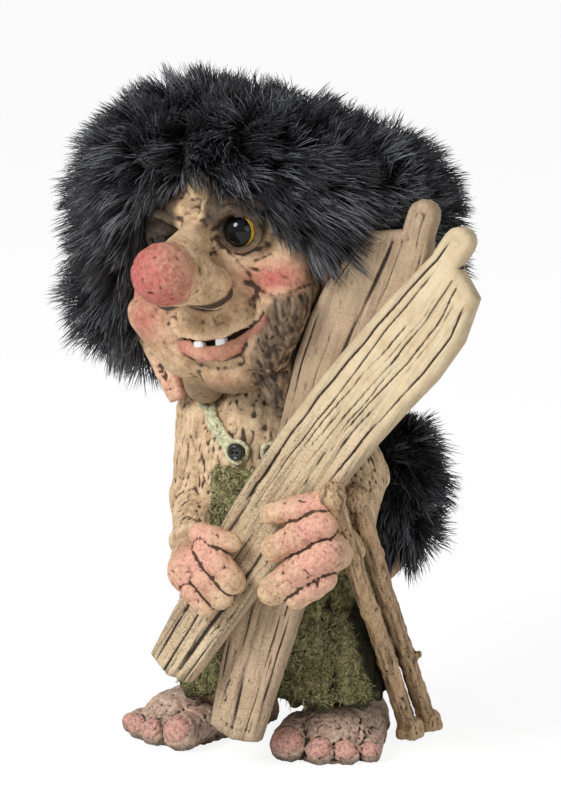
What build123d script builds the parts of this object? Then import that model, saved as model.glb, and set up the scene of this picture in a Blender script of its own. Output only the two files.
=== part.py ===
"""A standing troll ornament in dungarees, with a pair of skis, two poles and fur hair.

Millimetres, +Z up. The troll faces -Y and its left side is +X. The origin is on the floor, under the
middle of the figure's outline.
"""
from build123d import *
import os
from math import asin, cos, degrees, radians, sin, sqrt

os.makedirs("parts", exist_ok=True)

# Fits
seam = 0.3
peg_fit = 0.15
cloth_fit = 0.1

# Place of the body's upright axis in the frame
axis_x = -5.0
axis_y = 9.5
body = Plane(origin=(axis_x, axis_y, 0))

# Trunk: heights of its sections, each with its half width, half depth and middle
waist_height = 72.0
waist_half_width = 32.0
waist_half_depth = 26.0
belly_height = 88.0
belly_half_width = 30.0
belly_half_depth = 25.0
chest_height = 106.0
chest_half_width = 27.0
chest_half_depth = 23.0
shoulder_rise = 13.0
shoulder_height = chest_height + shoulder_rise
shoulder_half_width = 22.0
shoulder_half_depth = 18.5
neck_base_rise = 10.0
neck_base_height = shoulder_height + neck_base_rise
neck_base_radius = 13.0
neck_rise = 7.0
neck_top_height = neck_base_height + neck_rise
neck_radius = 11.0
trunk_back = 1.5
trunk_lean = 0.1

# Dungarees
seat_drop = 16.0
seat_half_width = 34.0
seat_x = 3.0
seat_half_depth = 27.5
crotch_height = 40.0
crotch_half_width = 35.5
crotch_half_depth = 28.5
thigh_height = 48.0
thigh_radius = 18.3
thigh_spacing = 17.2
hem_height = 19.0
hem_radius = 18.8
hem_spacing = 18.2
legs_x = 4.2
flare_x = 25.4
flare_back = 8.6
flare_height = 42.0
flare_radius = 16.3
flare_inset = 2.0
furrow_radius = 3.2
furrow_depth = 1.7
furrow_turns = ((-78.0, -122.0), (-46.0, -62.0), (2.0, -4.0), (46.0, 52.0), (74.0, 108.0))
leg_forward = 3.0
bib_thickness = 1.8
bib_half_width = 17.0
bib_top_height = 103.0
bib_corner = 4.0
brace_width = 5.5
brace_thickness = 1.8
brace_top_x = 21.0
brace_back_x = 9.0
button_x = 6.5
button_offset = 3.0
button_rise = 3.5
button_radius = 2.8
button_height = 2.2

# Inner weight and pegs
ballast_radius = 16.5
ballast_floor = 43.0
ballast_top_gap = 0.3
neck_peg_radius = 5.0
neck_peg_forward = 4.5
neck_peg_depth = 18.0
neck_peg_rise = 16.0
shoulder_peg_radius = 3.0
shoulder_peg_inner = 12.0
shoulder_peg_outer = 27.0
leg_peg_radius = 4.0
leg_peg_floor = 5.0
leg_peg_rise = 14.0

# Feet
heel_x = 22.0
heel_y = 18.5
heel_radius = 14.5
heel_length = 18.0
heel_rise = 3.5
instep_forward = 20.0
instep_radius = 16.3
instep_length = 24.0
instep_rise = 2.0
left_splay = 7.0
right_splay = 22.0
toe_forward = (37.0, 38.5, 36.5, 32.5)
toe_across = (-12.5, -0.8, 8.2, 15.6)
toe_radius = (6.6, 5.2, 4.7, 4.1)
toe_stretch = 3.0

# Arms
arm_shoulder_x = 25.0
arm_shoulder_y = -3.0
arm_shoulder_z = 114.0
arm_shoulder_radius = 9.5
right_elbow = (-25.5, -9.0, 86.0)
left_elbow = (32.0, 3.0, 98.0)
elbow_radius = 9.2
right_wrist = (-18.5, -28.0, 77.5)
left_wrist = (36.0, -21.0, 79.5)
wrist_radius = 7.2

# Skis: they lean back a little, side by side, in planes that face the front
carry_across = 1.35
carry_height = 60.7
carry_forward = 47.6
carry_lean = 4.0
ski_thickness = 9.0
ski_gap = 0.5
front_ski_lean = 32.6
front_ski_tail = (-22.0, -25.4)
front_ski_length = 188.0
front_ski_tip = 1.5
front_ski_plain_side = ((-8.6, 1.0), (-11.0, 24.0), (-13.3, 98.0), (-7.5, 153.0), (-3.6, 174.0))
front_ski_full_side = ((8.6, 1.0), (11.3, 47.0), (16.3, 111.0), (20.7, 160.0), (17.5, 171.0))
back_ski_lean = 15.6
back_ski_tail = (-1.5, -48.0)
back_ski_length = 199.0
back_ski_tip = 11.8
back_ski_plain_side = ((9.5, 1.0), (10.5, 51.0), (13.8, 131.0), (19.0, 174.0), (18.2, 183.0))
back_ski_full_side = ((-8.8, 1.0), (-12.4, 36.0), (-14.9, 101.0), (-13.9, 161.0), (-6.4, 182.0))
tip_half_width = 5.2
tip_height = 12.0

# Poles
inner_pole_foot = (45.5, 18.0)
inner_pole_top = (40.2, -50.4, 102.5)
outer_pole_foot = (48.5, 30.0)
outer_pole_top = (42.4, -32.8, 98.1)
pole_radius = 2.9
pole_knot_radius = 3.6
pole_knob_radius = 4.9
pole_knot_share = (0.3, 0.76)
pole_foot_height = 3.2
basket_radius = 5.6
basket_height = 7.5

# Head: its frame stands on the neck, turned and tilted to the troll's right
head_sink = 6.0
head_height = neck_top_height - head_sink
head_forward = 4.0
head_turn = 9.0
head_tilt = 7.0
skull_radius = 34.5
skull_half_height = 38.0
skull_rise = 54.0
jaw_radius = 20.0
jaw_half_width = 24.0
jaw_rise = 20.5
jaw_forward = 13.0
chin_radius = 8.0
chin_half_width = 11.0
muzzle_radius = 11.0
muzzle_half_width = 20.0
muzzle_rise = 28.0
cheek_x = 23.7
cheek_forward = 20.0
cheek_rise = 37.0
cheek_radius = 11.5
cheek_half_height = 15.0
jowl_top = (26.0, -28.0, 30.0)
jowl_foot = (16.5, -26.0, 15.4)
jowl_radius = 9.0
nose_radius = 10.2
nose_forward = 62.0
nose_rise = 46.8
bridge_radius = 8.4
bridge_root_forward = 28.0
bridge_root_rise = 54.0
nostril_x = 7.6
nostril_back = 22.5
nostril_drop = 4.5
nostril_radius = 6.4
brow_x = 14.0
brow_radius = 5.2
brow_half_width = 10.5
brow_rise = 65.0
eye_x = 14.7
eye_forward = 31.5
eye_rise = 57.0
eye_radius = 6.1
mouth_forward = 32.5
mouth_rise = 19.5
mouth_half_height = 2.6
mouth_corner_height = 1.4
mouth_half_length = 15.5
mouth_curl = 0.35
tooth_radius = 1.6
tooth_sides = (-1, 1)
tooth_places = (4.5, 1.2)
tooth_length = 1.9

# Ears
ear_thickness = 5.0
ear_forward = 11.0
ear_sweep = 15.0
ear_outline = ((30.0, 50.0), (51.0, 52.0), (53.0, 36.0), (31.0, -4.0), (25.0, -2.0), (28.0, 24.0))
ear_corner = 3.0

# Hair: a mass with pointed locks standing out of it
cap_thickness = 1.4
lock_sink = 4.5
lock_proud = 5.0
lock_root_radius = 8.0
lock_tip_radius = 1.4
lock_count = 84
hair_right_end = (-21.0, 6.0, 61.0)
hair_right_radius = 45.0
hair_left_end = (31.0, 15.0, 49.0)
hair_left_radius = 39.5
hair_lobe = (-50.0, 4.0, 37.0)
hair_lobe_radius = 23.0
hair_lobe_half_length = 28.0
fringe_right_end = (-24.0, -21.0, 78.0)
fringe_left_end = (34.0, -14.0, 62.0)
fringe_radius = 21.0
face_half_width = 40.0
face_half_height = 46.0
face_rise = 20.0
face_x = 2.0
face_depth = 8.0

# Tail
tail_points = ((8.0, 26.0, 46.0), (20.0, 37.0, 47.0), (31.0, 41.0, 58.0), (33.0, 38.5, 82.0))
tail_radii = (6.0, 5.0, 4.2, 3.4)
tuft_middle = (33.0, 38.5, 87.0)
tuft_radius = 17.0
tuft_half_height = 29.0

# Way in front of the face that the fur leaves clear
face_reach = 2 * hair_right_radius

# Frames of the head and of the skis, both standing on the body's frame
up = Vector(0, 0, 1)
front = Vector(0, -1, 0)
left = Vector(1, 0, 0)
head_up = up.rotate(Axis.Y, -head_tilt).rotate(Axis.Z, -head_turn)
head_left = left.rotate(Axis.Y, -head_tilt).rotate(Axis.Z, -head_turn)
head_front = front.rotate(Axis.Z, -head_turn)
neck_point = body.from_local_coords(Vector(0, -head_forward, head_height))
head_frame = Plane(origin=neck_point, x_dir=head_left, z_dir=head_up)
carry_point = body.from_local_coords(Vector(carry_across, -carry_forward, carry_height))
carry_front = front.rotate(Axis.X, -carry_lean)
carry = Plane(origin=carry_point, x_dir=left, z_dir=carry_front)


def body_at(x, y, z):
    """A point given from the body's axis."""
    return body.from_local_coords(Vector(x, y, z))


def head_at(x, y, z):
    """A point given from the top of the neck, with the head's own left, back and up."""
    return head_frame.from_local_coords(Vector(x, y, z))


def carry_at(x, y, z):
    """A point given on the front ski's face: across, up and out to the front."""
    return carry.from_local_coords(Vector(x, y, z))


def limb(start, end, start_radius, end_radius, mode=Mode.ADD):
    """A tapered limb with round ends."""
    run = end - start
    slope = asin((start_radius - end_radius) / run.length)
    side = run.cross(Vector(0.31, 0.22, 0.92)).normalized()
    with BuildSketch(Plane(origin=start, x_dir=side, z_dir=side.cross(run))) as half:
        with BuildLine():
            CenterArc((0, 0), start_radius, -90, 90 + degrees(slope))
            Line(
                (start_radius * cos(slope), start_radius * sin(slope)),
                (end_radius * cos(slope), run.length + end_radius * sin(slope)),
            )
            CenterArc((0, run.length), end_radius, degrees(slope), 90 - degrees(slope))
            Line((0, run.length + end_radius), (0, -start_radius))
        make_face()
    revolve(half.sketch, axis=Axis(start, run), mode=mode)


def mass(centre, across, along, axis=up, mode=Mode.ADD):
    """A rounded mass about its own middle, longer along its axis than across."""
    reach = axis * (along - across)
    limb(centre - reach, centre + reach, across, across, mode)


def ball(centre, radius, mode=Mode.ADD):
    """A round mass, turned so that its seam stays clear of its neighbours' seams."""
    with Locations(Location(centre, (33, 21, 47))):
        Sphere(radius, mode=mode)


def chain(points, radii, grow=0.0, mode=Mode.ADD):
    """Limbs joined end to end."""
    for start, end, start_radius, end_radius in zip(points, points[1:], radii, radii[1:]):
        limb(start, end, start_radius + grow, end_radius + grow, mode)


def peg_form(start, end, radius, grow=0.0):
    """A dowel between two points; a grown one is the hole for it, longer by the same fit at each end."""
    run = (end - start).normalized()
    with BuildPart() as form:
        with BuildSketch(Plane(origin=start - run * grow, z_dir=run)):
            Circle(radius + grow)
        extrude(amount=(end - start).length + 2 * grow)
    return form.part


def trunk_form(grow=0.0):
    """The shirt and neck, from the waist up."""
    sections = (
        (waist_height, waist_half_width, waist_half_depth),
        (belly_height, belly_half_width, belly_half_depth),
        (chest_height, chest_half_width, chest_half_depth),
        (shoulder_height, shoulder_half_width, shoulder_half_depth),
        (neck_base_height, neck_base_radius, neck_base_radius),
        (neck_top_height + grow, neck_radius, neck_radius),
    )
    with BuildPart() as form:
        for height, half_width, half_depth in sections:
            middle = trunk_back - (height - waist_height) * trunk_lean
            with BuildSketch(Plane(origin=body_at(0, middle, height))):
                Ellipse(half_width + grow, half_depth + grow)
        loft()
    return form.part


def flare_form(grow=0.0):
    """The cloth that hangs loose behind the left leg, fading into the seat."""
    with BuildPart() as form:
        with BuildSketch(Plane(origin=body_at(flare_x - flare_inset, flare_back - flare_inset, waist_height - seat_drop + 4))):
            Circle(flare_radius - 5.3 + grow)
        with BuildSketch(Plane(origin=body_at(flare_x, flare_back, flare_height))):
            Circle(flare_radius + grow)
        with BuildSketch(Plane(origin=body_at(flare_x, flare_back, hem_height - grow))):
            Circle(flare_radius - 1.1 + grow)
        loft()
    return form.part


def trousers_form(grow=0.0):
    """The dungarees' seat and legs, closed all round."""
    with BuildPart() as form:
        add(flare_form(grow))
        for height, middle, half_width, half_depth in (
            (waist_height, 0, waist_half_width + 1, waist_half_depth + 1),
            (waist_height - seat_drop, seat_x, seat_half_width, seat_half_depth),
            (crotch_height - grow, seat_x + 0.5, crotch_half_width, crotch_half_depth),
        ):
            with BuildSketch(Plane(origin=body_at(middle, trunk_back, height))):
                Ellipse(half_width + grow, half_depth + grow)
        loft()
        for side in (-1, 1):
            with BuildSketch(Plane(origin=body_at(legs_x + side * thigh_spacing, -leg_forward, thigh_height))):
                Circle(thigh_radius + grow)
            with BuildSketch(Plane(origin=body_at(legs_x + side * hem_spacing, -leg_forward, hem_height - grow))):
                Circle(hem_radius + grow)
            loft()
    return form.part


def brace_form(side, grow=0.0):
    """A strap from its button over the shoulder and down the back to the waist."""
    low = (button_offset + side * button_x, bib_top_height + button_rise)
    top = (side * brace_top_x, shoulder_height + brace_width)
    back = (side * brace_back_x, waist_height)
    half = brace_width / 2 + grow
    with BuildPart() as band:
        for start, end, reach in ((low, top, chest_half_depth), (back, top, -chest_half_depth)):
            with BuildSketch(Plane(origin=body_at(0, 0, 0), x_dir=left, z_dir=front)):
                with BuildLine():
                    Polyline(
                        (start[0] - half, start[1]),
                        (start[0] + half, start[1]),
                        (end[0] + half, end[1]),
                        (end[0] - half, end[1]),
                        close=True,
                    )
                make_face()
            extrude(amount=2 * reach)
        add(trunk_form(brace_thickness + grow), mode=Mode.INTERSECT)
        add(trunk_form(cloth_fit), mode=Mode.SUBTRACT)
    return band.part


def sleeve_form(side, elbow, wrist, grow=0.0):
    """An arm in its sleeve, from the shoulder to the wrist."""
    points = [
        body_at(side * arm_shoulder_x, arm_shoulder_y, arm_shoulder_z),
        body_at(*elbow),
        body_at(*wrist),
    ]
    with BuildPart() as form:
        chain(points, (arm_shoulder_radius, elbow_radius, wrist_radius), grow)
    return form.part


def ski_form(tail, lean, length, tip, plain_side, full_side, depth, grow=0.0, reach=0.0):
    """A broad ski with a knob for a tip. A grown one is the room it takes, reaching out to the front."""
    along = Vector(sin(radians(lean)), cos(radians(lean)), 0)
    across = Vector(along.Y, -along.X, 0)
    origin = carry_at(tail[0], tail[1], -depth)
    x_dir = carry_at(*across) - carry_at(0, 0, 0)
    sign = 1 if full_side[0][0] > 0 else -1
    plain = [(x - sign * grow, y) for x, y in plain_side]
    full = [(x + sign * grow, y) for x, y in full_side]
    half = tip_half_width + grow
    base = length - tip_height
    top = length + grow
    with BuildPart() as form:
        with BuildSketch(Plane(origin=origin, x_dir=x_dir, z_dir=carry_front).offset(grow + reach)):
            with BuildLine():
                Spline(*plain)
                Spline(*full)
                ThreePointArc(plain[0], ((plain[0][0] + full[0][0]) / 2, -1.5 - grow), full[0])
                Polyline(plain[-1], (tip - sign * half, base), (tip - sign * half, top - half))
                ThreePointArc((tip - half, top - half), (tip, top), (tip + half, top - half))
                Polyline((tip + sign * half, top - half), (tip + sign * half, base), full[-1])
            make_face()
        extrude(amount=-(ski_thickness + 2 * grow + reach))
    return form.part


def front_ski_form(grow=0.0, reach=0.0):
    """The ski in front, over the right foot and past the left cheek."""
    return ski_form(
        front_ski_tail,
        front_ski_lean,
        front_ski_length,
        front_ski_tip,
        front_ski_plain_side,
        front_ski_full_side,
        0,
        grow,
        reach,
    )


def back_ski_form(grow=0.0, reach=0.0):
    """The ski behind it, between the feet."""
    return ski_form(
        back_ski_tail,
        back_ski_lean,
        back_ski_length,
        back_ski_tip,
        back_ski_plain_side,
        back_ski_full_side,
        ski_thickness + ski_gap,
        grow,
        reach,
    )


def pole_form(foot, top, grow=0.0):
    """A gnarled pole: a thin stalk with knots and a knob on top."""
    start = body_at(foot[0], foot[1], pole_foot_height)
    end = body_at(*top)
    knots = [start + (end - start) * share for share in pole_knot_share]
    with BuildPart() as form:
        limb(start, end, pole_radius + grow, pole_radius + grow)
        for knot in knots:
            mass(knot, pole_knot_radius + grow, pole_knot_radius * 1.4 + grow, (end - start).normalized())
        mass(end, pole_knob_radius + grow, pole_knob_radius * 1.2 + grow, (end - start).normalized())
    return form.part


def head_form(grow=0.0):
    """Skull, jaw, cheeks, nose and brows, without sockets or mouth."""
    bridge_root = head_at(0, -bridge_root_forward, bridge_root_rise)
    with BuildPart() as form:
        mass(head_at(0, -1, skull_rise), skull_radius + grow, skull_half_height + grow, head_up)
        mass(head_at(0, -jaw_forward, jaw_rise), jaw_radius + grow, jaw_half_width + grow, head_left)
        mass(
            head_at(0, -jaw_forward - jaw_radius / 2 + 1, chin_radius),
            chin_radius + grow,
            chin_half_width + grow,
            head_left,
        )
        mass(
            head_at(0, -jaw_forward - jaw_radius + muzzle_radius - 0.5, muzzle_rise),
            muzzle_radius + grow,
            muzzle_half_width + grow,
            head_left,
        )
        limb(bridge_root, head_at(0, -nose_forward, nose_rise), bridge_radius + grow, nose_radius + grow)
        for side in (-1, 1):
            mass(
                head_at(side * cheek_x, -cheek_forward, cheek_rise),
                cheek_radius + grow,
                cheek_half_height + grow,
                head_up,
            )
            limb(
                head_at(side * jowl_top[0], jowl_top[1], jowl_top[2]),
                head_at(side * jowl_foot[0], jowl_foot[1], jowl_foot[2]),
                jowl_radius + grow,
                jowl_radius - 0.2 + grow,
            )
            ball(head_at(side * nostril_x, nostril_back - nose_forward, nose_rise - nostril_drop), nostril_radius + grow)
            mass(
                head_at(side * brow_x, -eye_forward - 0.5, brow_rise),
                brow_radius + grow,
                brow_half_width + grow,
                head_left,
            )
    return form.part


def ear_form(side, grow=0.0, reach=0.0):
    """A long hanging ear, a flap whose outer edge is swept back. A grown one is the room it takes."""
    sweep = head_left.rotate(Axis((0, 0, 0), head_up), side * ear_sweep)
    normal = sweep.cross(head_up)
    inner = ear_outline[0][0]
    with BuildPart() as form:
        with BuildSketch(Plane(origin=head_at(side * inner, -ear_forward, 0), x_dir=sweep, z_dir=normal).offset(-grow)):
            with BuildLine():
                Polyline(*[(side * (x - inner), z) for x, z in ear_outline], close=True)
            flap = make_face()
            fillet(flap.vertices(), ear_corner)
            if grow:
                offset(amount=grow)
        extrude(amount=ear_thickness + 2 * grow + reach)
    return form.part


def lock_planes():
    """Where the locks of the hair stand, spread evenly round its mass."""
    start = Vector(*hair_right_end)
    way = Vector(*hair_left_end) - start
    planes = []
    for number in range(lock_count):
        rise = 1 - 2 * (number + 0.5) / lock_count
        turn = number * 137.5
        level = sqrt(1 - rise * rise)
        out = Vector(level * sin(radians(turn)), level * cos(radians(turn)), rise)
        share = 0.5 + 0.5 * out.dot(way.normalized())
        radius = hair_right_radius + (hair_left_radius - hair_right_radius) * share
        foot = start + way * share + out * (radius - 2 * lock_sink)
        in_face = out.Y < -0.25 and out.Z < 0.45
        in_neck = out.Z < -0.6
        if not in_face and not in_neck:
            heading = head_at(*(foot + out)) - head_at(*foot)
            planes.append(Plane(origin=head_at(*foot), z_dir=heading))
    return planes


def foot_form(side, splay):
    """A broad bare foot with four toes, flat underneath."""
    heel = body_at(side * heel_x, heel_y, 0)
    forward = front.rotate(Axis.Z, side * splay)
    outward = left.rotate(Axis.Z, side * splay) * side
    with BuildPart() as form:
        mass(heel + up * heel_rise, heel_radius, heel_length, forward)
        mass(heel + forward * instep_forward + up * instep_rise, instep_radius, instep_length, forward)
        for reach, across, radius in zip(toe_forward, toe_across, toe_radius):
            middle = heel + forward * reach + outward * across + up * (radius - 0.6)
            mass(middle, radius, radius + toe_stretch, forward)
        split(bisect_by=Plane.XY, keep=Keep.TOP)
    return form.part


def furrow_ends(side, seat_turn, leg_turn):
    """The two ends of a fold in the cloth, from the seat down to the hem."""
    out = furrow_radius - furrow_depth
    fold_x = (seat_half_width + out) * cos(radians(seat_turn))
    fold_y = (seat_half_depth + out) * sin(radians(seat_turn))
    leg_x = hem_spacing + (hem_radius + out) * cos(radians(leg_turn))
    leg_y = (hem_radius + out) * sin(radians(leg_turn))
    return (
        body_at(seat_x + side * fold_x, trunk_back + fold_y, waist_height - seat_drop / 2),
        body_at(legs_x + side * leg_x, leg_y - leg_forward, hem_height - furrow_radius),
    )


def leg_peg_ends(side):
    """The two ends of a leg's dowel, from inside the foot into the trouser leg."""
    return (
        body_at(side * heel_x, -leg_forward, leg_peg_floor),
        body_at(side * heel_x, -leg_forward, hem_height + leg_peg_rise),
    )


def shoulder_peg_ends(side):
    """The two ends of an arm's dowel, from inside the trunk into the sleeve."""
    return (
        body_at(side * shoulder_peg_inner, arm_shoulder_y, arm_shoulder_z - 4),
        body_at(side * shoulder_peg_outer, arm_shoulder_y, arm_shoulder_z - 4),
    )


def mouth_run(side):
    """The direction of one half of the smile, out to the side, up and back."""
    return (head_left * side + head_up * mouth_curl - head_front * mouth_curl).normalized()


def socket_form(side):
    """The room of an eye, a little deeper than round."""
    look = (head_front + head_up * 0.2 + head_left * 0.3).normalized()
    with BuildPart() as form:
        mass(head_at(side * eye_x, -eye_forward, eye_rise), eye_radius + seam, eye_radius + 2 * seam, look)
    return form.part


def cap_form(grow):
    """The skull's own form, grown to the cloth cap's inner or outer face."""
    with BuildPart() as form:
        mass(head_at(0, -1, skull_rise), skull_radius + grow, skull_half_height + grow, head_up)
    return form.part


mouth_middle = head_at(0, -mouth_forward, mouth_rise)
cap_outside = seam + cap_thickness
neck_peg_ends = (
    body_at(0, -head_forward - neck_peg_forward, head_height - neck_peg_depth),
    body_at(0, -head_forward - neck_peg_forward, neck_top_height + neck_peg_rise),
)

# Trunk
with BuildPart() as trunk:
    add(trunk_form())
    add(peg_form(*neck_peg_ends, neck_peg_radius, peg_fit), mode=Mode.SUBTRACT)
    for side in (-1, 1):
        add(peg_form(*shoulder_peg_ends(side), shoulder_peg_radius, peg_fit), mode=Mode.SUBTRACT)
trunk.part.label = "trunk"
export_step(trunk.part, "parts/trunk.step")

# Trousers, with a pocket for the weight that the trunk closes
with BuildPart() as trousers:
    add(trousers_form())
    for side in (-1, 1):
        for seat_turn, leg_turn in furrow_turns:
            limb(*furrow_ends(side, seat_turn, leg_turn), furrow_radius, furrow_radius, Mode.SUBTRACT)
    add(flare_form())
    for side in (-1, 1):
        add(peg_form(*leg_peg_ends(side), leg_peg_radius, peg_fit), mode=Mode.SUBTRACT)
    with BuildSketch(Plane(origin=body_at(0, trunk_back, waist_height))):
        Circle(ballast_radius + seam)
    extrude(amount=ballast_floor - waist_height, mode=Mode.SUBTRACT)
trousers.part.label = "trousers"
export_step(trousers.part, "parts/trousers.step")

# Weight in the pocket
with BuildPart() as ballast:
    with BuildSketch(Plane(origin=body_at(0, trunk_back, ballast_floor))):
        Circle(ballast_radius)
    extrude(amount=waist_height - ballast_floor - ballast_top_gap)
ballast.part.label = "ballast"
export_step(ballast.part, "parts/ballast.step")

# Bib on the chest
with BuildPart() as bib:
    with BuildSketch(Plane(origin=body_at(0, 0, 0), x_dir=left, z_dir=front)):
        with Locations((button_offset, (waist_height + bib_top_height) / 2)):
            RectangleRounded(2 * bib_half_width, bib_top_height - waist_height, bib_corner)
    extrude(amount=2 * waist_half_depth)
    add(trunk_form(bib_thickness), mode=Mode.INTERSECT)
    add(trunk_form(cloth_fit), mode=Mode.SUBTRACT)
    for side in (-1, 1):
        add(brace_form(side, cloth_fit), mode=Mode.SUBTRACT)
    add(sleeve_form(-1, right_elbow, right_wrist, seam), mode=Mode.SUBTRACT)
bib.part.label = "bib"
export_step(bib.part, "parts/bib.step")

# Braces
for name, side in (("right_brace", -1), ("left_brace", 1)):
    with BuildPart() as brace:
        add(brace_form(side))
    brace.part.label = name
    export_step(brace.part, f"parts/{name}.step")

# Buttons on the braces
with BuildPart() as brace_buttons:
    for side in (-1, 1):
        seat = body_at(button_offset + side * button_x, 0, bib_top_height + button_rise + button_radius)
        with BuildSketch(Plane(origin=seat, x_dir=left, z_dir=front)) as disc:
            Circle(button_radius)
        extrude(amount=chest_half_depth + brace_thickness + 2 * button_height)
    add(trunk_form(brace_thickness + button_height), mode=Mode.INTERSECT)
    add(trunk_form(brace_thickness + cloth_fit), mode=Mode.SUBTRACT)
    add(back_ski_form(seam), mode=Mode.SUBTRACT)
brace_buttons.part.label = "brace_buttons"
export_step(brace_buttons.part, "parts/brace_buttons.step")

# Sleeves
for name, side, elbow, wrist in (
    ("right_sleeve", -1, right_elbow, right_wrist),
    ("left_sleeve", 1, left_elbow, left_wrist),
):
    with BuildPart() as sleeve:
        add(sleeve_form(side, elbow, wrist))
        add(trunk_form(seam), mode=Mode.SUBTRACT)
        add(brace_form(side, seam), mode=Mode.SUBTRACT)
        add(trousers_form(seam), mode=Mode.SUBTRACT)
        add(back_ski_form(seam), mode=Mode.SUBTRACT)
        add(pole_form(inner_pole_foot, inner_pole_top, seam), mode=Mode.SUBTRACT)
        add(pole_form(outer_pole_foot, outer_pole_top, seam), mode=Mode.SUBTRACT)
        add(peg_form(*shoulder_peg_ends(side), shoulder_peg_radius, peg_fit), mode=Mode.SUBTRACT)
    sleeve.part.label = name
    export_step(sleeve.part, f"parts/{name}.step")

# Right hand, closed on the front ski's near edge
with BuildPart() as right_hand:
    limb(carry_at(-13.0, 11.0, 0.5), body_at(*right_wrist), 8.6, wrist_radius - 0.6)
    limb(carry_at(-6.3, 19.2, 3.8), carry_at(3.4, 9.4, 5.4), 5.2, 4.8)
    limb(carry_at(-11.0, 14.6, 3.8), carry_at(-0.7, 3.3, 5.0), 5.0, 4.4)
    limb(carry_at(-14.8, 9.1, 2.5), carry_at(-6.4, -0.4, 4.4), 4.6, 3.8)
    limb(carry_at(-9.5, 23.8, 1.5), carry_at(2.6, 22.2, 4.2), 4.4, 3.3)
    add(front_ski_form(seam), mode=Mode.SUBTRACT)
    add(back_ski_form(seam), mode=Mode.SUBTRACT)
    add(sleeve_form(-1, right_elbow, right_wrist, seam), mode=Mode.SUBTRACT)
    add(trunk_form(bib_thickness + seam), mode=Mode.SUBTRACT)
    add(trousers_form(seam), mode=Mode.SUBTRACT)
right_hand.part.label = "right_hand"
export_step(right_hand.part, "parts/right_hand.step")

# Left hand, closed on the back ski's far edge
with BuildPart() as left_hand:
    limb(carry_at(35.0, 21.0, 1.0), body_at(*left_wrist), 8.0, wrist_radius - 0.6)
    limb(carry_at(34.5, 31.0, 4.5), carry_at(18.5, 21.5, 5.6), 5.6, 4.6)
    limb(carry_at(36.0, 20.5, 4.5), carry_at(18.5, 7.5, 6.4), 6.2, 5.2)
    limb(carry_at(35.0, 12.5, 2.5), carry_at(26.5, 5.6, 4.8), 5.0, 4.2)
    limb(carry_at(34.0, 38.0, 3.0), carry_at(16.0, 33.0, 4.2), 4.6, 3.6)
    add(front_ski_form(seam), mode=Mode.SUBTRACT)
    add(back_ski_form(seam), mode=Mode.SUBTRACT)
    add(pole_form(inner_pole_foot, inner_pole_top, seam), mode=Mode.SUBTRACT)
    add(pole_form(outer_pole_foot, outer_pole_top, seam), mode=Mode.SUBTRACT)
    add(sleeve_form(1, left_elbow, left_wrist, seam), mode=Mode.SUBTRACT)
left_hand.part.label = "left_hand"
export_step(left_hand.part, "parts/left_hand.step")

# Feet
for name, side, splay in (("right_foot", -1, right_splay), ("left_foot", 1, left_splay)):
    with BuildPart() as foot:
        add(foot_form(side, splay))
        add(trousers_form(seam), mode=Mode.SUBTRACT)
        add(back_ski_form(seam), mode=Mode.SUBTRACT)
        add(peg_form(*leg_peg_ends(side), leg_peg_radius, peg_fit), mode=Mode.SUBTRACT)
    foot.part.label = name
    export_step(foot.part, f"parts/{name}.step")

# Pegs
with BuildPart() as neck_peg:
    add(peg_form(*neck_peg_ends, neck_peg_radius))
neck_peg.part.label = "neck_peg"
export_step(neck_peg.part, "parts/neck_peg.step")

with BuildPart() as shoulder_pegs:
    for side in (-1, 1):
        add(peg_form(*shoulder_peg_ends(side), shoulder_peg_radius))
shoulder_pegs.part.label = "shoulder_pegs"
export_step(shoulder_pegs.part, "parts/shoulder_pegs.step")

with BuildPart() as leg_pegs:
    for side in (-1, 1):
        add(peg_form(*leg_peg_ends(side), leg_peg_radius))
leg_pegs.part.label = "leg_pegs"
export_step(leg_pegs.part, "parts/leg_pegs.step")

# Head
with BuildPart() as head:
    add(head_form())
    for side in (-1, 1):
        add(socket_form(side), mode=Mode.SUBTRACT)
        corner = mouth_middle + mouth_run(side) * mouth_half_length
        limb(mouth_middle, corner, mouth_half_height, mouth_corner_height, mode=Mode.SUBTRACT)
    add(trunk_form(seam), mode=Mode.SUBTRACT)
    add(peg_form(*neck_peg_ends, neck_peg_radius, peg_fit), mode=Mode.SUBTRACT)
    add(back_ski_form(seam), mode=Mode.SUBTRACT)
head.part.label = "head"
export_step(head.part, "parts/head.step")

# Eyes
for name, side in (("right_eye", -1), ("left_eye", 1)):
    with BuildPart() as eye:
        ball(head_at(side * eye_x, -eye_forward, eye_rise), eye_radius)
    eye.part.label = name
    export_step(eye.part, f"parts/{name}.step")

# Teeth in the mouth
with BuildPart() as teeth:
    for side, place in zip(tooth_sides, tooth_places):
        start = mouth_middle + mouth_run(side) * place
        limb(start, start + mouth_run(side) * tooth_length, tooth_radius, tooth_radius)
teeth.part.label = "teeth"
export_step(teeth.part, "parts/teeth.step")

# Ears
for name, side in (("right_ear", -1), ("left_ear", 1)):
    with BuildPart() as ear:
        add(ear_form(side))
        add(head_form(seam), mode=Mode.SUBTRACT)
        add(cap_form(cap_outside + seam), mode=Mode.SUBTRACT)
        add(back_ski_form(seam), mode=Mode.SUBTRACT)
    ear.part.label = name
    export_step(ear.part, f"parts/{name}.step")

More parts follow.
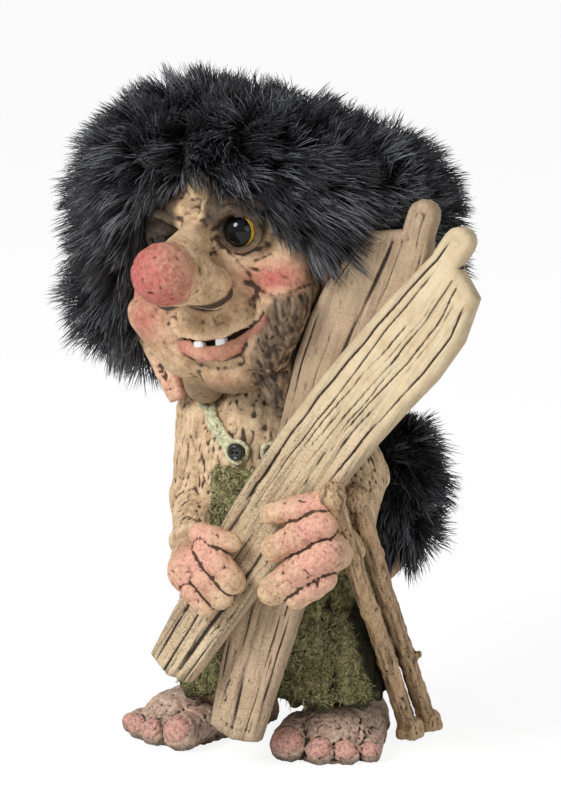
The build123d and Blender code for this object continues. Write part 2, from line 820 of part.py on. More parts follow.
# Cloth cap under the fur, open at the face
face_plane = Plane(origin=head_at(face_x, -face_depth, face_rise), x_dir=head_left, z_dir=head_front)
with BuildPart() as wig_cap:
    add(cap_form(cap_outside))
    with BuildSketch(face_plane):
        SlotOverall(2 * face_half_height, 2 * face_half_width, rotation=90)
    extrude(amount=face_reach, mode=Mode.SUBTRACT)
    with BuildSketch(Plane(origin=head_at(0, 0, face_rise), x_dir=head_left, z_dir=head_up)):
        Circle(2 * skull_radius)
    extrude(amount=-2 * skull_half_height, mode=Mode.SUBTRACT)
    add(head_form(seam), mode=Mode.SUBTRACT)
    for side in (-1, 1):
        add(socket_form(side), mode=Mode.SUBTRACT)
wig_cap.part.label = "wig_cap"
export_step(wig_cap.part, "parts/wig_cap.step")

# Hair, the outer form of the fur
lobe_axis = (head_up + head_front * 0.5 + head_left * 0.3).normalized()
with BuildPart() as hair:
    limb(
        head_at(*hair_right_end),
        head_at(*hair_left_end),
        hair_right_radius - lock_sink,
        hair_left_radius - lock_sink,
    )
    mass(head_at(*hair_lobe), hair_lobe_radius, hair_lobe_half_length, lobe_axis)
    limb(head_at(*fringe_right_end), head_at(*fringe_left_end), fringe_radius, fringe_radius - 1)
    with Locations(*lock_planes()):
        Cone(
            lock_root_radius,
            lock_tip_radius,
            2 * lock_sink + lock_proud,
            align=(Align.CENTER, Align.CENTER, Align.MIN),
        )
    for side in (-1, 1):
        add(ear_form(side, seam, face_reach), mode=Mode.SUBTRACT)
        add(socket_form(side), mode=Mode.SUBTRACT)
    add(cap_form(cap_outside + seam), mode=Mode.SUBTRACT)
    add(head_form(seam), mode=Mode.SUBTRACT)
    with BuildSketch(face_plane):
        SlotOverall(2 * face_half_height, 2 * face_half_width, rotation=90)
    extrude(amount=face_reach, mode=Mode.SUBTRACT)
    add(trunk_form(brace_thickness + seam), mode=Mode.SUBTRACT)
    add(back_ski_form(seam, face_reach), mode=Mode.SUBTRACT)
    add(front_ski_form(seam, face_reach), mode=Mode.SUBTRACT)
hair.part.label = "hair"
export_step(hair.part, "parts/hair.step")

# Skis
with BuildPart() as front_ski:
    add(front_ski_form())
front_ski.part.label = "front_ski"
export_step(front_ski.part, "parts/front_ski.step")

with BuildPart() as back_ski:
    add(back_ski_form())
back_ski.part.label = "back_ski"
export_step(back_ski.part, "parts/back_ski.step")

# Poles and their baskets
poles = (("inner_pole", inner_pole_foot, inner_pole_top), ("outer_pole", outer_pole_foot, outer_pole_top))
for name, foot, top in poles:
    with BuildPart() as pole:
        add(pole_form(foot, top))
    pole.part.label = name
    export_step(pole.part, f"parts/{name}.step")

with BuildPart() as pole_baskets:
    for name, foot, top in poles:
        with BuildSketch(Plane(origin=body_at(foot[0], foot[1], 0))):
            Circle(basket_radius)
        extrude(amount=basket_height, taper=12)
    for name, foot, top in poles:
        add(pole_form(foot, top, peg_fit), mode=Mode.SUBTRACT)
pole_baskets.part.label = "pole_baskets"
export_step(pole_baskets.part, "parts/pole_baskets.step")

# Tail and its tuft
tail_route = [body_at(*point) for point in tail_points]
with BuildPart() as tail:
    chain(tail_route, tail_radii)
    add(trousers_form(seam), mode=Mode.SUBTRACT)
tail.part.label = "tail"
export_step(tail.part, "parts/tail.step")

with BuildPart() as tail_tuft:
    mass(body_at(*tuft_middle), tuft_radius, tuft_half_height)
    chain(tail_route, tail_radii, seam, mode=Mode.SUBTRACT)
    add(trunk_form(seam), mode=Mode.SUBTRACT)
    add(sleeve_form(1, left_elbow, left_wrist, seam), mode=Mode.SUBTRACT)
tail_tuft.part.label = "tail_tuft"
export_step(tail_tuft.part, "parts/tail_tuft.step")
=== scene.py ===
"""The looks of a troll ornament with skis: painted castings, grained wood and black fur."""

import functools
import math

import bpy
import numpy as np
import openvdb
from mathutils import Matrix, Vector


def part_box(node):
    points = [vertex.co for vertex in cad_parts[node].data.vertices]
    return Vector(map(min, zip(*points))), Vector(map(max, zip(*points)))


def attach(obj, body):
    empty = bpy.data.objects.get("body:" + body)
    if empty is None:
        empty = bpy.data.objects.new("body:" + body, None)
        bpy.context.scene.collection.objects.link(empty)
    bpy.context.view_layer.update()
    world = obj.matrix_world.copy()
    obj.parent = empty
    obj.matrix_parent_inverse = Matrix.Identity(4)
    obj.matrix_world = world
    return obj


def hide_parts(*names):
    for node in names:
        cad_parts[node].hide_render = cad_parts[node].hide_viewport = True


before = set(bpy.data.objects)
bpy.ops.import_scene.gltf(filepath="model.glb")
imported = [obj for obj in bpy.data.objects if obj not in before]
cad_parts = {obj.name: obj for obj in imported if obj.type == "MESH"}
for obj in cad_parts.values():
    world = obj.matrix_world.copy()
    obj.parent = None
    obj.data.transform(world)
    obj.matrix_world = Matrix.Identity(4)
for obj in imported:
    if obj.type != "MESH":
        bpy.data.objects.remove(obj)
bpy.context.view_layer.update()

# Working units and the frames that the pieces are shaped in, in millimetres
MM = 0.001
COARSE = 1.0


def turn(axis, degrees):
    """A turn about one axis, as a matrix."""
    return np.array(Matrix.Rotation(math.radians(degrees), 3, axis))


def columns(*vectors):
    """A frame's matrix from its own axes."""
    return np.array([np.array(v, float) / np.linalg.norm(v) for v in vectors]).T


AXIS = np.array((-5.0, 9.5, 0.0))
BODY = (np.eye(3), AXIS)
HEAD = (turn("Z", -9.0) @ turn("Y", -7.0), AXIS + (0.0, -4.0, 130.0))
LEAN = math.radians(4.0)
CARRY = (
    columns((1, 0, 0), (0, math.sin(LEAN), math.cos(LEAN)), (0, -math.cos(LEAN), math.sin(LEAN))),
    AXIS + (1.35, -47.6, 60.7),
)


def unit(way):
    """A direction of length one."""
    return way / np.linalg.norm(way)


def units(rows, least=0.0):
    """Rows of directions, each of length one."""
    return rows / (np.linalg.norm(rows, axis=1, keepdims=True) + least)


def by_axis(spots):
    """Rows of spots as one array for each axis."""
    return [spots[:, i] for i in range(3)]


def within(place, tilt, origin):
    """A frame given inside another one."""
    return (place[0] @ tilt, place[0] @ np.array(origin, float) + place[1])


def moved(p, start, end):
    """Coordinates of one frame, read in another."""
    matrix = end[0].T @ start[0]
    offset = end[0].T @ (start[1] - end[1])
    return [sum(float(matrix[i, j]) * p[j] for j in range(3)) + float(offset[i]) for i in range(3)]


def point(place, spot, end):
    """One spot of a frame, read in another."""
    return tuple(float(c) for c in moved([np.float64(c) for c in spot], place, end))


# Distance forms, negative inside
def ball(p, centre, radius):
    return np.sqrt(sum((p[i] - centre[i]) ** 2 for i in range(3))) - radius


def limb(p, start, end, start_radius, end_radius):
    way = [end[i] - start[i] for i in range(3)]
    q = [p[i] - start[i] for i in range(3)]
    share = np.clip(sum(q[i] * way[i] for i in range(3)) / sum(w * w for w in way), 0.0, 1.0)
    gap = np.sqrt(sum((q[i] - share * way[i]) ** 2 for i in range(3)))
    return gap - (start_radius + (end_radius - start_radius) * share)


def joined(forms):
    """Forms together, with sharp seams."""
    return functools.reduce(np.minimum, forms)


def run(p, points, radii):
    """A row of limbs through some points."""
    return joined(limb(p, *ends) for ends in zip(points, points[1:], radii, radii[1:]))


def egg(p, centre, radii):
    q = [(p[i] - centre[i]) / radii[i] for i in range(3)]
    near = np.sqrt(q[0] ** 2 + q[1] ** 2 + q[2] ** 2)
    slope = np.sqrt(sum((q[i] / radii[i]) ** 2 for i in range(3))) + 1e-6
    return near * (near - 1.0) / slope


def ring(p, centre, axis, radius, thick):
    length = math.sqrt(sum(a * a for a in axis))
    q = [p[i] - centre[i] for i in range(3)]
    lift = sum(q[i] * axis[i] / length for i in range(3))
    out = np.sqrt(np.maximum(sum(c * c for c in q) - lift * lift, 0.0))
    return np.sqrt((out - radius) ** 2 + lift * lift) - thick


def soft(a, b, k):
    """Two forms run together."""
    h = np.clip(0.5 + 0.5 * (b - a) / k, 0.0, 1.0)
    return b + (a - b) * h - k * h * (1.0 - h)


def carve(a, b, k=0.4):
    """One form with another cut out of it."""
    return -soft(-a, b, k)


def both(a, b, k=0.6):
    """What two forms share."""
    return -soft(-a, -b, k)


def outline(u, v, corners):
    """Distance in a plane from a closed outline."""
    best = np.float32(1e9)
    inside = np.zeros(np.broadcast(u, v).shape, bool)
    for (ax, ay), (bx, by) in zip(corners, corners[1:] + corners[:1]):
        ex, ey = bx - ax, by - ay
        share = np.clip(((u - ax) * ex + (v - ay) * ey) / (ex * ex + ey * ey + 1e-9), 0.0, 1.0)
        best = np.minimum(best, (u - ax - share * ex) ** 2 + (v - ay - share * ey) ** 2)
        if ay != by:
            level = (v >= min(ay, by)) & (v < max(ay, by))
            inside ^= level & (u < ax + (v - ay) * ex / ey)
    gap = np.sqrt(best)
    return np.where(inside, -gap, gap).astype(np.float32)


def slab(flat, height, half, rounding):
    """A flat outline given a thickness, with its edges rounded."""
    a = flat + rounding
    b = np.abs(height) - half + rounding
    out = np.sqrt(np.maximum(a, 0) ** 2 + np.maximum(b, 0) ** 2)
    return np.minimum(np.maximum(a, b), 0.0) + out - rounding


def step(low, high, value):
    """Nought to one between two values, smoothly."""
    t = np.clip((value - low) / (high - low), 0.0, 1.0)
    return t * t * (3.0 - 2.0 * t)


# Surface noise, the same at each run
def lattice(ix, iy, iz, seed):
    h = (ix * 374761393 + iy * 668265263 + iz * 1274126177 + seed * 974634541) & 0x7FFFFFFF
    h = ((h ^ (h >> 13)) * 1103515245) & 0x7FFFFFFF
    h = ((h ^ (h >> 16)) * 668265263) & 0x7FFFFFFF
    return ((h & 0xFFFF) / 32767.5 - 1.0).astype(np.float32)


def sizes(size):
    """A size for each axis, from one for all or one for each."""
    return (size,) * 3 if np.isscalar(size) else size


def grain(p, size, seed):
    """Smooth lumps between minus one and one."""
    size = sizes(size)
    q = [np.asarray(p[i]) / size[i] for i in range(3)]
    base = [np.floor(c) for c in q]
    f = [q[i] - base[i] for i in range(3)]
    f = [c * c * (3.0 - 2.0 * c) for c in f]
    i = [c.astype(np.int64) for c in base]
    total = 0.0
    for dx in (0, 1):
        for dy in (0, 1):
            for dz in (0, 1):
                w = (f[0] if dx else 1 - f[0]) * (f[1] if dy else 1 - f[1]) * (f[2] if dz else 1 - f[2])
                total = total + w * lattice(i[0] + dx, i[1] + dy, i[2] + dz, seed)
    return total


def lumps(p, size, seed, octaves=3):
    """Lumps with finer ones on them."""
    size = np.array(sizes(size), float)
    return sum(grain(p, tuple(size / 2**n), seed + n) / 2**n for n in range(octaves))


def creases(p, size, seed, width=0.16):
    """Thin lines, one in the middle and nought away from them."""
    finer = tuple(np.array(sizes(size)) / 2.3)
    line = grain(p, size, seed) + 0.35 * grain(p, finer, seed + 7)
    return np.clip(1.0 - np.abs(line) / width, 0.0, 1.0)


# Finishes: arithmetic on sockets adds the nodes
class Socket:
    """One value in a finish's node tree."""

    def __init__(self, tree, out=None):
        self.tree = tree
        self.out = out

    def node(self, kind, inputs=None, settings=None, give=0):
        """Adds a node of any kind and gives back one of its outputs."""
        made = self.tree.nodes.new(kind)
        for key, value in (settings or {}).items():
            setattr(made, key, value)
        for key, value in (inputs or {}).items():
            if isinstance(value, Socket):
                self.tree.links.new(value.out, made.inputs[key])
            else:
                made.inputs[key].default_value = value
        return Socket(self.tree, made.outputs[give])

    def maths(self, operation, a, b=0.0, clamp=False):
        return self.node("ShaderNodeMath", {0: a, 1: b}, {"operation": operation, "use_clamp": clamp})

    def __add__(self, other):
        return self.maths("ADD", self, other)

    __radd__ = __add__

    def __sub__(self, other):
        return self.maths("SUBTRACT", self, other)

    def __rsub__(self, other):
        return self.maths("SUBTRACT", other, self)

    def __mul__(self, other):
        return self.maths("MULTIPLY", self, other)

    __rmul__ = __mul__

    def between(self, low, high):
        """Nought below one value and one above the other."""
        ends = {0: self, 1: low, 2: high}
        return self.node("ShaderNodeMapRange", ends, {"interpolation_type": "SMOOTHSTEP"})

    def held(self):
        """The value, kept between nought and one."""
        return self.maths("ADD", self, 0.0, clamp=True)


def colour(r, g, b):
    return (r, g, b, 1.0)


def lighter(paint, gain, lift):
    return tuple(min(1.0, c * gain + lift) for c in paint)


def darker(paint, share):
    return tuple(c * share for c in paint)


class Finish:
    """A new material with its coordinates, ready for colour."""

    def __init__(self, name, rough=0.6, coat=0.0, shine=0.5):
        self.material = bpy.data.materials.new(name)
        self.material.use_nodes = True
        tree = self.material.node_tree
        self.shader = next(n for n in tree.nodes if n.type == "BSDF_PRINCIPLED")
        self.shader.inputs["Roughness"].default_value = rough
        self.shader.inputs["Coat Weight"].default_value = coat
        self.shader.inputs["Specular IOR Level"].default_value = shine
        self.at = Socket(tree)
        self.where = self.at.node("ShaderNodeTexCoord", give=3)

    def stored(self, *names):
        """Marks that the mesh carries, such as its hollows."""
        kind = "ShaderNodeAttribute"
        return [self.at.node(kind, settings={"attribute_name": name}, give=2) for name in names]

    def noise(self, size, detail=3.0, rough=0.6, stretch=None):
        """Lumps of a size in millimetres, nought to one."""
        where = self.where
        if stretch:
            where = self.at.node("ShaderNodeMapping", {0: where, 3: stretch})
        settings = {"Vector": where, "Scale": 1000.0 / size, "Detail": detail, "Roughness": rough}
        return self.at.node("ShaderNodeTexNoise", settings)

    def mix(self, share, a, b):
        """One colour going over into another, each a paint or a socket."""
        a, b = (colour(*c) if isinstance(c, tuple) else c for c in (a, b))
        return self.at.node("ShaderNodeMix", {0: share, 6: a, 7: b}, {"data_type": "RGBA"}, give=2)

    def paint(self, base, rough=None, bump=None, height=0.3):
        """Puts colour, roughness and a fine bump on, and gives the material."""
        tree = self.material.node_tree
        tree.links.new(base.out, self.shader.inputs["Base Color"])
        if rough is not None:
            tree.links.new(rough.out, self.shader.inputs["Roughness"])
        if bump is not None:
            settings = {"Strength": 0.6, "Distance": height * MM, "Height": bump}
            lift = self.at.node("ShaderNodeBump", settings)
            tree.links.new(lift.out, self.shader.inputs["Normal"])
        return self.material


def casting_finish(name, light, deep, wash, flush, spots=0.6, streaks=0.0):
    """Painted casting: a body colour, a brown wash in the hollows with painted shade in the broad ones,
    dry-brushed ridges, a flush, and dark lids and painted shade where marked.
    """
    f = Finish(name, 0.62, shine=0.35)
    hollow, broad, blush, stain_and_painted_shade = f.stored("wash", "shade", "blush", "stain_and_painted_shade")
    blotch = f.noise(6.0, 4.0)
    fine = f.noise(1.3, 4.0, 0.7)
    grit = f.noise(0.55, 3.0, 0.65)
    base = f.mix(blotch.between(0.4, 0.62), light, deep)
    rosy = f.mix(fine.between(0.42, 0.62), flush, darker(flush, 0.74))
    base = f.mix((blush * (0.75 + blotch * 0.4)).held(), base, rosy)
    ridge = ((0.0 - hollow).between(0.05, 0.9) * 0.35 * (1.0 - blush * 0.7)).held()
    base = f.mix(ridge, base, lighter(light, 1.35, 0.05))
    grime = grit.between(0.47, 0.62) * 0.4 + fine.between(0.5, 0.64) * 0.5
    if streaks:
        grime = grime + f.noise(2.0, 3.0, 0.6, (1.0, 1.0, 0.16)).between(0.45, 0.65) * streaks
    # A brown wash in the fine hollows, and painted shade in the broad ones.
    sunk = hollow.between(0.0, 0.75) * 0.95 + broad.between(0.1, 1.0) * 0.3
    dark = (sunk + grime * (spots - blush * 0.12)).held()
    base = f.mix((dark * 0.94).held(), base, wash)
    # Dark lid paint and painted shade, where the piece is marked for them.
    base = f.mix((stain_and_painted_shade * (0.82 + fine * 0.34)).held(), base, LID_AND_SHADE_BROWN)
    return f.paint(base, (0.5 + fine * 0.3 + dark * 0.1).held(), fine * 0.7 + grit * 0.5, 0.5)


def cloth_finish(name, light, deep, wash):
    """Mossy cloth in cast form, dark green in its hollows, with painted shade in its broad hollows and where
    it is marked.
    """
    f = Finish(name, 0.9, shine=0.15)
    hollow, broad, stain_and_painted_shade = f.stored("wash", "shade", "stain_and_painted_shade")
    clump = f.noise(5.0, 4.0, 0.7)
    fine = f.noise(0.9, 5.0, 0.75)
    base = f.mix(clump.between(0.35, 0.68), deep, light)
    base = f.mix((fine.between(0.48, 0.72) * 0.75).held(), base, lighter(light, 1.9, 0.02))
    # Deep green in the fine hollows, and painted shade in the broad ones.
    sunk = hollow.between(0.0, 0.8) * 0.8 + broad.between(0.0, 0.8) * 0.7
    dark = (sunk + (1.0 - fine.between(0.28, 0.5)) * 0.6).held()
    # Painted shade where the cloth is marked, in the deep green.
    base = f.mix((dark + stain_and_painted_shade * 0.95).held(), base, wash)
    return f.paint(base, (0.8 + fine * 0.15).held(), fine + clump * 0.5, 0.6)


def wood_finish(name, light, deep, wash, aged):
    """Carved and weathered wood, dark in its grooves with painted shade in its broad hollows, browned where
    it is aged and stained where marked.
    """
    f = Finish(name, 0.6, shine=0.3)
    hollow, broad, worn, stain = f.stored("wash", "shade", "blush", "stain_and_painted_shade")
    blotch = f.noise(8.0, 4.0)
    fine = f.noise(0.8, 4.0, 0.7)
    grit = f.noise(0.4, 3.0, 0.6)
    base = f.mix(blotch.between(0.35, 0.75), light, deep)
    base = f.mix((worn * (0.6 + blotch * 0.5)).held(), base, aged)
    ridge = ((0.0 - hollow).between(0.1, 0.8) * 0.4).held()
    base = f.mix(ridge, base, lighter(light, 1.2, 0.06))
    grime = (grit.between(0.47, 0.62) * 0.35 + fine.between(0.5, 0.64) * 0.5) * (0.15 + worn * 0.75)
    base = f.mix((stain * (0.6 + fine * 0.5)).held(), base, darker(aged, 0.3))
    # The grooves, and painted shade in the broad hollows, in the wash colour.
    dark = (hollow.between(0.08, 0.75) * 0.95 + broad.between(0.15, 1.0) * 0.5 + grime).held()
    base = f.mix(dark, base, wash)
    return f.paint(base, (0.5 + fine * 0.25).held(), fine * 0.6 + grit * 0.3, 0.25)


def pile_finish(name, root, body, painted_highlight, rough=0.4):
    """Fine pile: roots darkened as painted shade, and a painted highlight on a share of strands towards their
    tips.
    """
    f = Finish(name, rough, shine=0.5)
    tip, lock = f.stored("tip", "lock")
    base = f.mix(tip.between(0.1, 0.9), root, body)
    base = f.mix((lock.between(0.45, 0.95) * tip.between(0.1, 0.8) * 0.8).held(), base, painted_highlight)
    return f.paint(base, (rough + 0.12 - tip * 0.15).held(), f.noise(0.4), 0.03)


def eye_finish(name, node, look):
    """Black glass with an amber ring, looking one way."""
    f = Finish(name, 0.04, shine=0.36)
    low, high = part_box(node)
    middle = (low + high) / 2
    gaze = unit(HEAD[0] @ np.array(look))
    kind = "ShaderNodeVectorMath"
    way = f.at.node(kind, {0: f.where, 1: tuple(middle)}, {"operation": "SUBTRACT"})
    way = f.at.node(kind, {0: way}, {"operation": "NORMALIZE"})
    facing = f.at.node(kind, {0: way, 1: tuple(gaze)}, {"operation": "DOT_PRODUCT"}, give=1)
    vein = f.noise(0.8, 3.0)
    ring_ = facing.between(0.50, 0.45) * facing.between(-0.05, 0.05)
    base = f.mix(ring_, (0.003, 0.003, 0.004), (0.70, 0.42, 0.03))
    base = f.mix((ring_ * vein.between(0.5, 0.7) * 0.6).held(), base, (0.25, 0.10, 0.01))
    return f.paint(base, None, vein, 0.004)


def gloss_finish(name, light, deep, rough=0.2, coat=0.4):
    """Hard glossy pieces, faintly marked."""
    f = Finish(name, rough, coat)
    mark = f.noise(2.0, 4.0)
    (hollow,) = f.stored("wash")
    base = f.mix(mark.between(0.45, 0.75), light, deep)
    base = f.mix(hollow.between(0.1, 0.6), base, darker(deep, 0.3))
    return f.paint(base, (rough + mark * 0.12).held(), mark, 0.05)


def plain_wood_finish(name):
    """Turned beech for the dowels."""
    f = Finish(name, 0.55)
    line = f.noise(1.2, 4.0, 0.6, (1.0, 1.0, 0.08))
    base = f.mix(line.between(0.35, 0.7), (0.55, 0.36, 0.19), (0.34, 0.20, 0.09))
    return f.paint(base, (0.45 + line * 0.2).held(), line, 0.08)


def plaster_finish(name, light, deep):
    """Dull filled plaster or woven backing, with pores."""
    f = Finish(name, 0.9, shine=0.2)
    pore = f.noise(1.0, 5.0, 0.7)
    base = f.mix(pore.between(0.4, 0.65), deep, light)
    return f.paint(base, (0.8 + pore * 0.15).held(), pore, 0.2)


BROWN = (0.040, 0.020, 0.011)
# Dark brown for the painted lids and for painted shade on the castings.
LID_AND_SHADE_BROWN = (0.027, 0.016, 0.010)
DEEP_GREEN = (0.012, 0.011, 0.006)
TAN, OCHRE = (0.70, 0.49, 0.30), (0.50, 0.325, 0.18)
FACE = casting_finish("painted_face", TAN, OCHRE, BROWN, (0.56, 0.135, 0.12), 0.45)
SKIN = casting_finish("painted_skin", TAN, OCHRE, BROWN, (0.86, 0.39, 0.32), 0.42)
FEET = casting_finish(
    "painted_feet", (0.66, 0.49, 0.37), (0.45, 0.31, 0.225), (0.020, 0.012, 0.009), (0.70, 0.37, 0.30), 0.85
)
SHIRT = casting_finish(
    "painted_shirt", (0.76, 0.55, 0.345), (0.56, 0.38, 0.22), BROWN, (0.6, 0.4, 0.22), 0.36, 0.65
)
MOSS = cloth_finish("moss_green_cloth", (0.28, 0.258, 0.118), (0.12, 0.111, 0.050), DEEP_GREEN)
BIB = cloth_finish("pale_moss_cloth", (0.37, 0.345, 0.17), (0.145, 0.133, 0.062), DEEP_GREEN)
STRAP = cloth_finish("lichen_green_strap", (0.72, 0.70, 0.45), (0.38, 0.36, 0.20), (0.02, 0.018, 0.01))
SKI = wood_finish(
    "pale_ski_wood", (0.75, 0.61, 0.40), (0.62, 0.465, 0.28), (0.028, 0.015, 0.008), (0.64, 0.475, 0.305)
)
# The back ski's wood: browned, and darker all over as painted shade.
BROWNED_SHADED_SKI = wood_finish(
    "browned_ski_wood", (0.54, 0.40, 0.265), (0.38, 0.265, 0.165), (0.028, 0.015, 0.009), (0.62, 0.45, 0.295)
)
POLE = wood_finish(
    "gnarled_pole_wood", (0.60, 0.41, 0.23), (0.40, 0.255, 0.135), (0.024, 0.013, 0.008), (0.36, 0.225, 0.125)
)
# Root colours are the painted shade deep in the pile; the last colours are painted highlights on some strand
# tips.
FUR = pile_finish("black_fur", (0.0026, 0.0026, 0.0033), (0.019, 0.019, 0.022), (0.33, 0.335, 0.36))
FLOCK = pile_finish("moss_flock", (0.045, 0.042, 0.019), (0.36, 0.335, 0.145), (0.70, 0.66, 0.36), 0.8)
GAZE = {"right": (0.10, -0.96, 0.26), "left": (-0.02, -0.99, -0.03)}
EYES_OF = {side: eye_finish(side + "_black_glass_eye", side + "_eye", look) for side, look in GAZE.items()}
TOOTH = gloss_finish("glazed_tooth", (0.80, 0.82, 0.84), (0.60, 0.58, 0.58), 0.12, 0.7)
BUTTON = gloss_finish("black_button", (0.012, 0.011, 0.011), (0.03, 0.027, 0.025), 0.22, 0.5)
CAP = plaster_finish("woven_wig_cap", (0.03, 0.03, 0.034), (0.008, 0.008, 0.01))
DOWEL = plain_wood_finish("turned_dowel")
FILL = plaster_finish("cast_filler", (0.62, 0.58, 0.52), (0.42, 0.38, 0.33))


# Making a piece from its form
def spread(count, corners, values):
    """Values added up at the corners that they belong to."""
    return np.stack([np.bincount(corners, values[:, i], count) for i in range(3)], 1)


def facings(verts, quads):
    """Each corner's outward direction."""
    a, b, c, d = (verts[quads[:, i]] for i in range(4))
    normal = np.cross(c - a, d - b)
    total = sum(spread(len(verts), quads[:, i], normal) for i in range(4))
    return units(total, 1e-12)


def hollows(verts, quads, rounds):
    """How far each corner lies below the smoothed surface."""
    one, two = np.concatenate([quads[:, [i, (i + 1) % 4]] for i in range(4)]).T
    many = len(verts)
    count = np.bincount(one, minlength=many) + np.bincount(two, minlength=many)
    smooth = verts.copy()
    for _ in range(rounds):
        total = spread(many, one, smooth[two]) + spread(many, two, smooth[one])
        smooth = total / np.maximum(count, 1)[:, None]
    return ((smooth - verts) * facings(verts, quads)).sum(1)


def lay(name, place, verts, faces, finish, slot_name, nodes=(), marks=None):
    """A mesh put in place from the frame that it is shaped in, riding on the model."""
    mesh = bpy.data.meshes.new(name)
    spots = verts @ place[0].T + place[1]
    mesh.vertices.add(len(spots))
    mesh.vertices.foreach_set("co", (spots * MM).astype(np.float32).ravel())
    mesh.loops.add(faces.size)
    mesh.loops.foreach_set("vertex_index", faces.astype(np.int32).ravel())
    mesh.polygons.add(len(faces))
    mesh.polygons.foreach_set("loop_start", np.arange(0, faces.size, faces.shape[1], dtype=np.int32))
    mesh.polygons.foreach_set("loop_total", np.full(len(faces), faces.shape[1], np.int32))
    mesh.update(calc_edges=True)
    mesh.polygons.foreach_set("use_smooth", np.ones(len(faces), bool))
    for key, values in (marks or {}).items():
        store = mesh.attributes.new(key, "FLOAT", "POINT")
        store.data.foreach_set("value", np.asarray(values, np.float32))
    mesh.materials.append(finish)
    piece = bpy.data.objects.new(name, mesh)
    bpy.context.scene.collection.objects.link(piece)
    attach(piece, "root")
    if nodes:
        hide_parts(*nodes)
    return piece


def surface(low, high, voxel, form, relief=None, depth=1.0):
    """Corners and faces of a form, in the frame that it is shaped in."""
    axes = [np.arange(a, b, voxel, dtype=np.float32) for a, b in zip(low, high)]
    p = np.meshgrid(*axes, indexing="ij", sparse=True)
    shape = tuple(len(a) for a in axes)
    d = np.array(np.broadcast_to(form(p), shape), np.float32)
    if relief:
        near = np.abs(d) < depth + 2.0 * voxel
        d[near] -= relief([np.broadcast_to(q, shape)[near] for q in p])
    band = 3.0 * voxel
    body = openvdb.FloatGrid(band)
    body.copyFromArray(np.clip(d, -band, band))
    corners, quads = body.convertToQuads(isovalue=0.0)
    verts = np.asarray(corners, float) * voxel + np.array(low, float)
    quads = np.asarray(quads, np.int64)
    a, b, c, e = (verts[quads[:, i]] for i in range(4))
    if np.einsum("ij,ij->i", a, np.cross(c - a, e - b)).sum() < 0:
        quads = quads[:, ::-1]
    return verts, quads


NARROW, BROAD = 5, 40


def sculpt(
    name,
    place,
    low,
    high,
    voxel,
    form,
    finish,
    slot_name,
    nodes,
    relief=None,
    depth=1.0,
    fine=0.2,
    blush=None,
    stain_and_painted_shade=None,
    lines=None,
):
    """A cast piece, with its hollows, flush, and its stain and painted shade noted for the paint."""
    verts, quads = surface(low, high, voxel * COARSE, form, relief, depth)
    p = by_axis(verts)
    none = np.zeros(len(verts))
    wash = np.clip(hollows(verts, quads, NARROW) / fine, -1.0, 1.0)
    # The last mark holds real stain on the wooden pieces, and painted shade, with the dark lid paint, on the
    # castings and cloth.
    marks = {
        "wash": np.maximum(wash, lines(p)) if lines else wash,
        "shade": np.clip(hollows(verts, quads, BROAD) / (fine * 6.0), -1.0, 1.0),
        "blush": blush(p) if blush else none,
        "stain_and_painted_shade": stain_and_painted_shade(p) if stain_and_painted_shade else none,
    }
    lay(name, place, verts, quads, finish, slot_name, nodes, marks)
    return verts, quads


# The skis, each in a frame along its own length
def bend(points, count):
    """A smooth line through points, by its second value."""
    x, y = np.array(points, float).T
    slope = np.gradient(x, y)
    levels = np.linspace(y[0], y[-1], count)
    i = np.clip(np.searchsorted(y, levels) - 1, 0, len(y) - 2)
    h = y[i + 1] - y[i]
    t = (levels - y[i]) / h
    value = (
        (2 * t**3 - 3 * t**2 + 1) * x[i]
        + (t**3 - 2 * t**2 + t) * h * slope[i]
        + (3 * t**2 - 2 * t**3) * x[i + 1]
        + (t**3 - t**2) * h * slope[i + 1]
    )
    return list(zip(value, levels))


SKI_HALF = 4.5
TIP_HALF = 5.2
TIP_HEIGHT = 12.0


class Ski:
    """One broad ski: where it stands, and its outline."""

    def __init__(self, tail, lean, length, tip, plain, full, depth):
        a = math.radians(lean)
        tilt = columns((math.cos(a), -math.sin(a), 0), (math.sin(a), math.cos(a), 0), (0, 0, 1))
        self.place = within(CARRY, tilt, (tail[0], tail[1], -depth - SKI_HALF))
        self.length = length
        sign = 1.0 if full[0][0] > 0 else -1.0
        self.plain = bend(plain, 12)
        self.full = bend(full, 12)
        base = length - TIP_HEIGHT
        arc = [
            (tip - sign * TIP_HALF * math.cos(k), length - TIP_HALF + TIP_HALF * math.sin(k))
            for k in np.linspace(0.0, math.pi, 7)
        ]
        ends = [(tip - sign * TIP_HALF, base)] + arc + [(tip + sign * TIP_HALF, base)]
        foot = [((self.plain[0][0] + self.full[0][0]) / 2, -1.5)]
        self.corners = self.plain + ends + self.full[::-1] + foot

    def sides(self, along):
        """The two edges at a place along the ski."""
        low = np.interp(along, [y for _, y in self.plain], [x for x, _ in self.plain])
        high = np.interp(along, [y for _, y in self.full], [x for x, _ in self.full])
        return low, high

    def room(self, p, place, grow=0.3, reach=0.0):
        """The space that the ski takes, out to the front where asked."""
        q = moved(p, place, self.place)
        flat = outline(q[0], q[1], self.corners)
        back = -SKI_HALF - q[2]
        front = q[2] - SKI_HALF - reach
        return np.maximum(flat, np.maximum(back, front)) - grow


FRONT_SKI = Ski(
    (-22.0, -25.4),
    32.6,
    188.0,
    1.5,
    ((-8.6, 1), (-11, 24), (-13.3, 98), (-7.5, 153), (-3.6, 174)),
    ((8.6, 1), (11.3, 47), (16.3, 111), (20.7, 160), (17.5, 171)),
    0.0,
)
BACK_SKI = Ski(
    (-1.5, -48.0),
    15.6,
    199.0,
    11.8,
    ((9.5, 1), (10.5, 51), (13.8, 131), (19, 174), (18.2, 183)),
    ((-8.8, 1), (-12.4, 36), (-14.9, 101), (-13.9, 161), (-6.4, 182)),
    9.5,
)


SKIS = (FRONT_SKI, BACK_SKI)


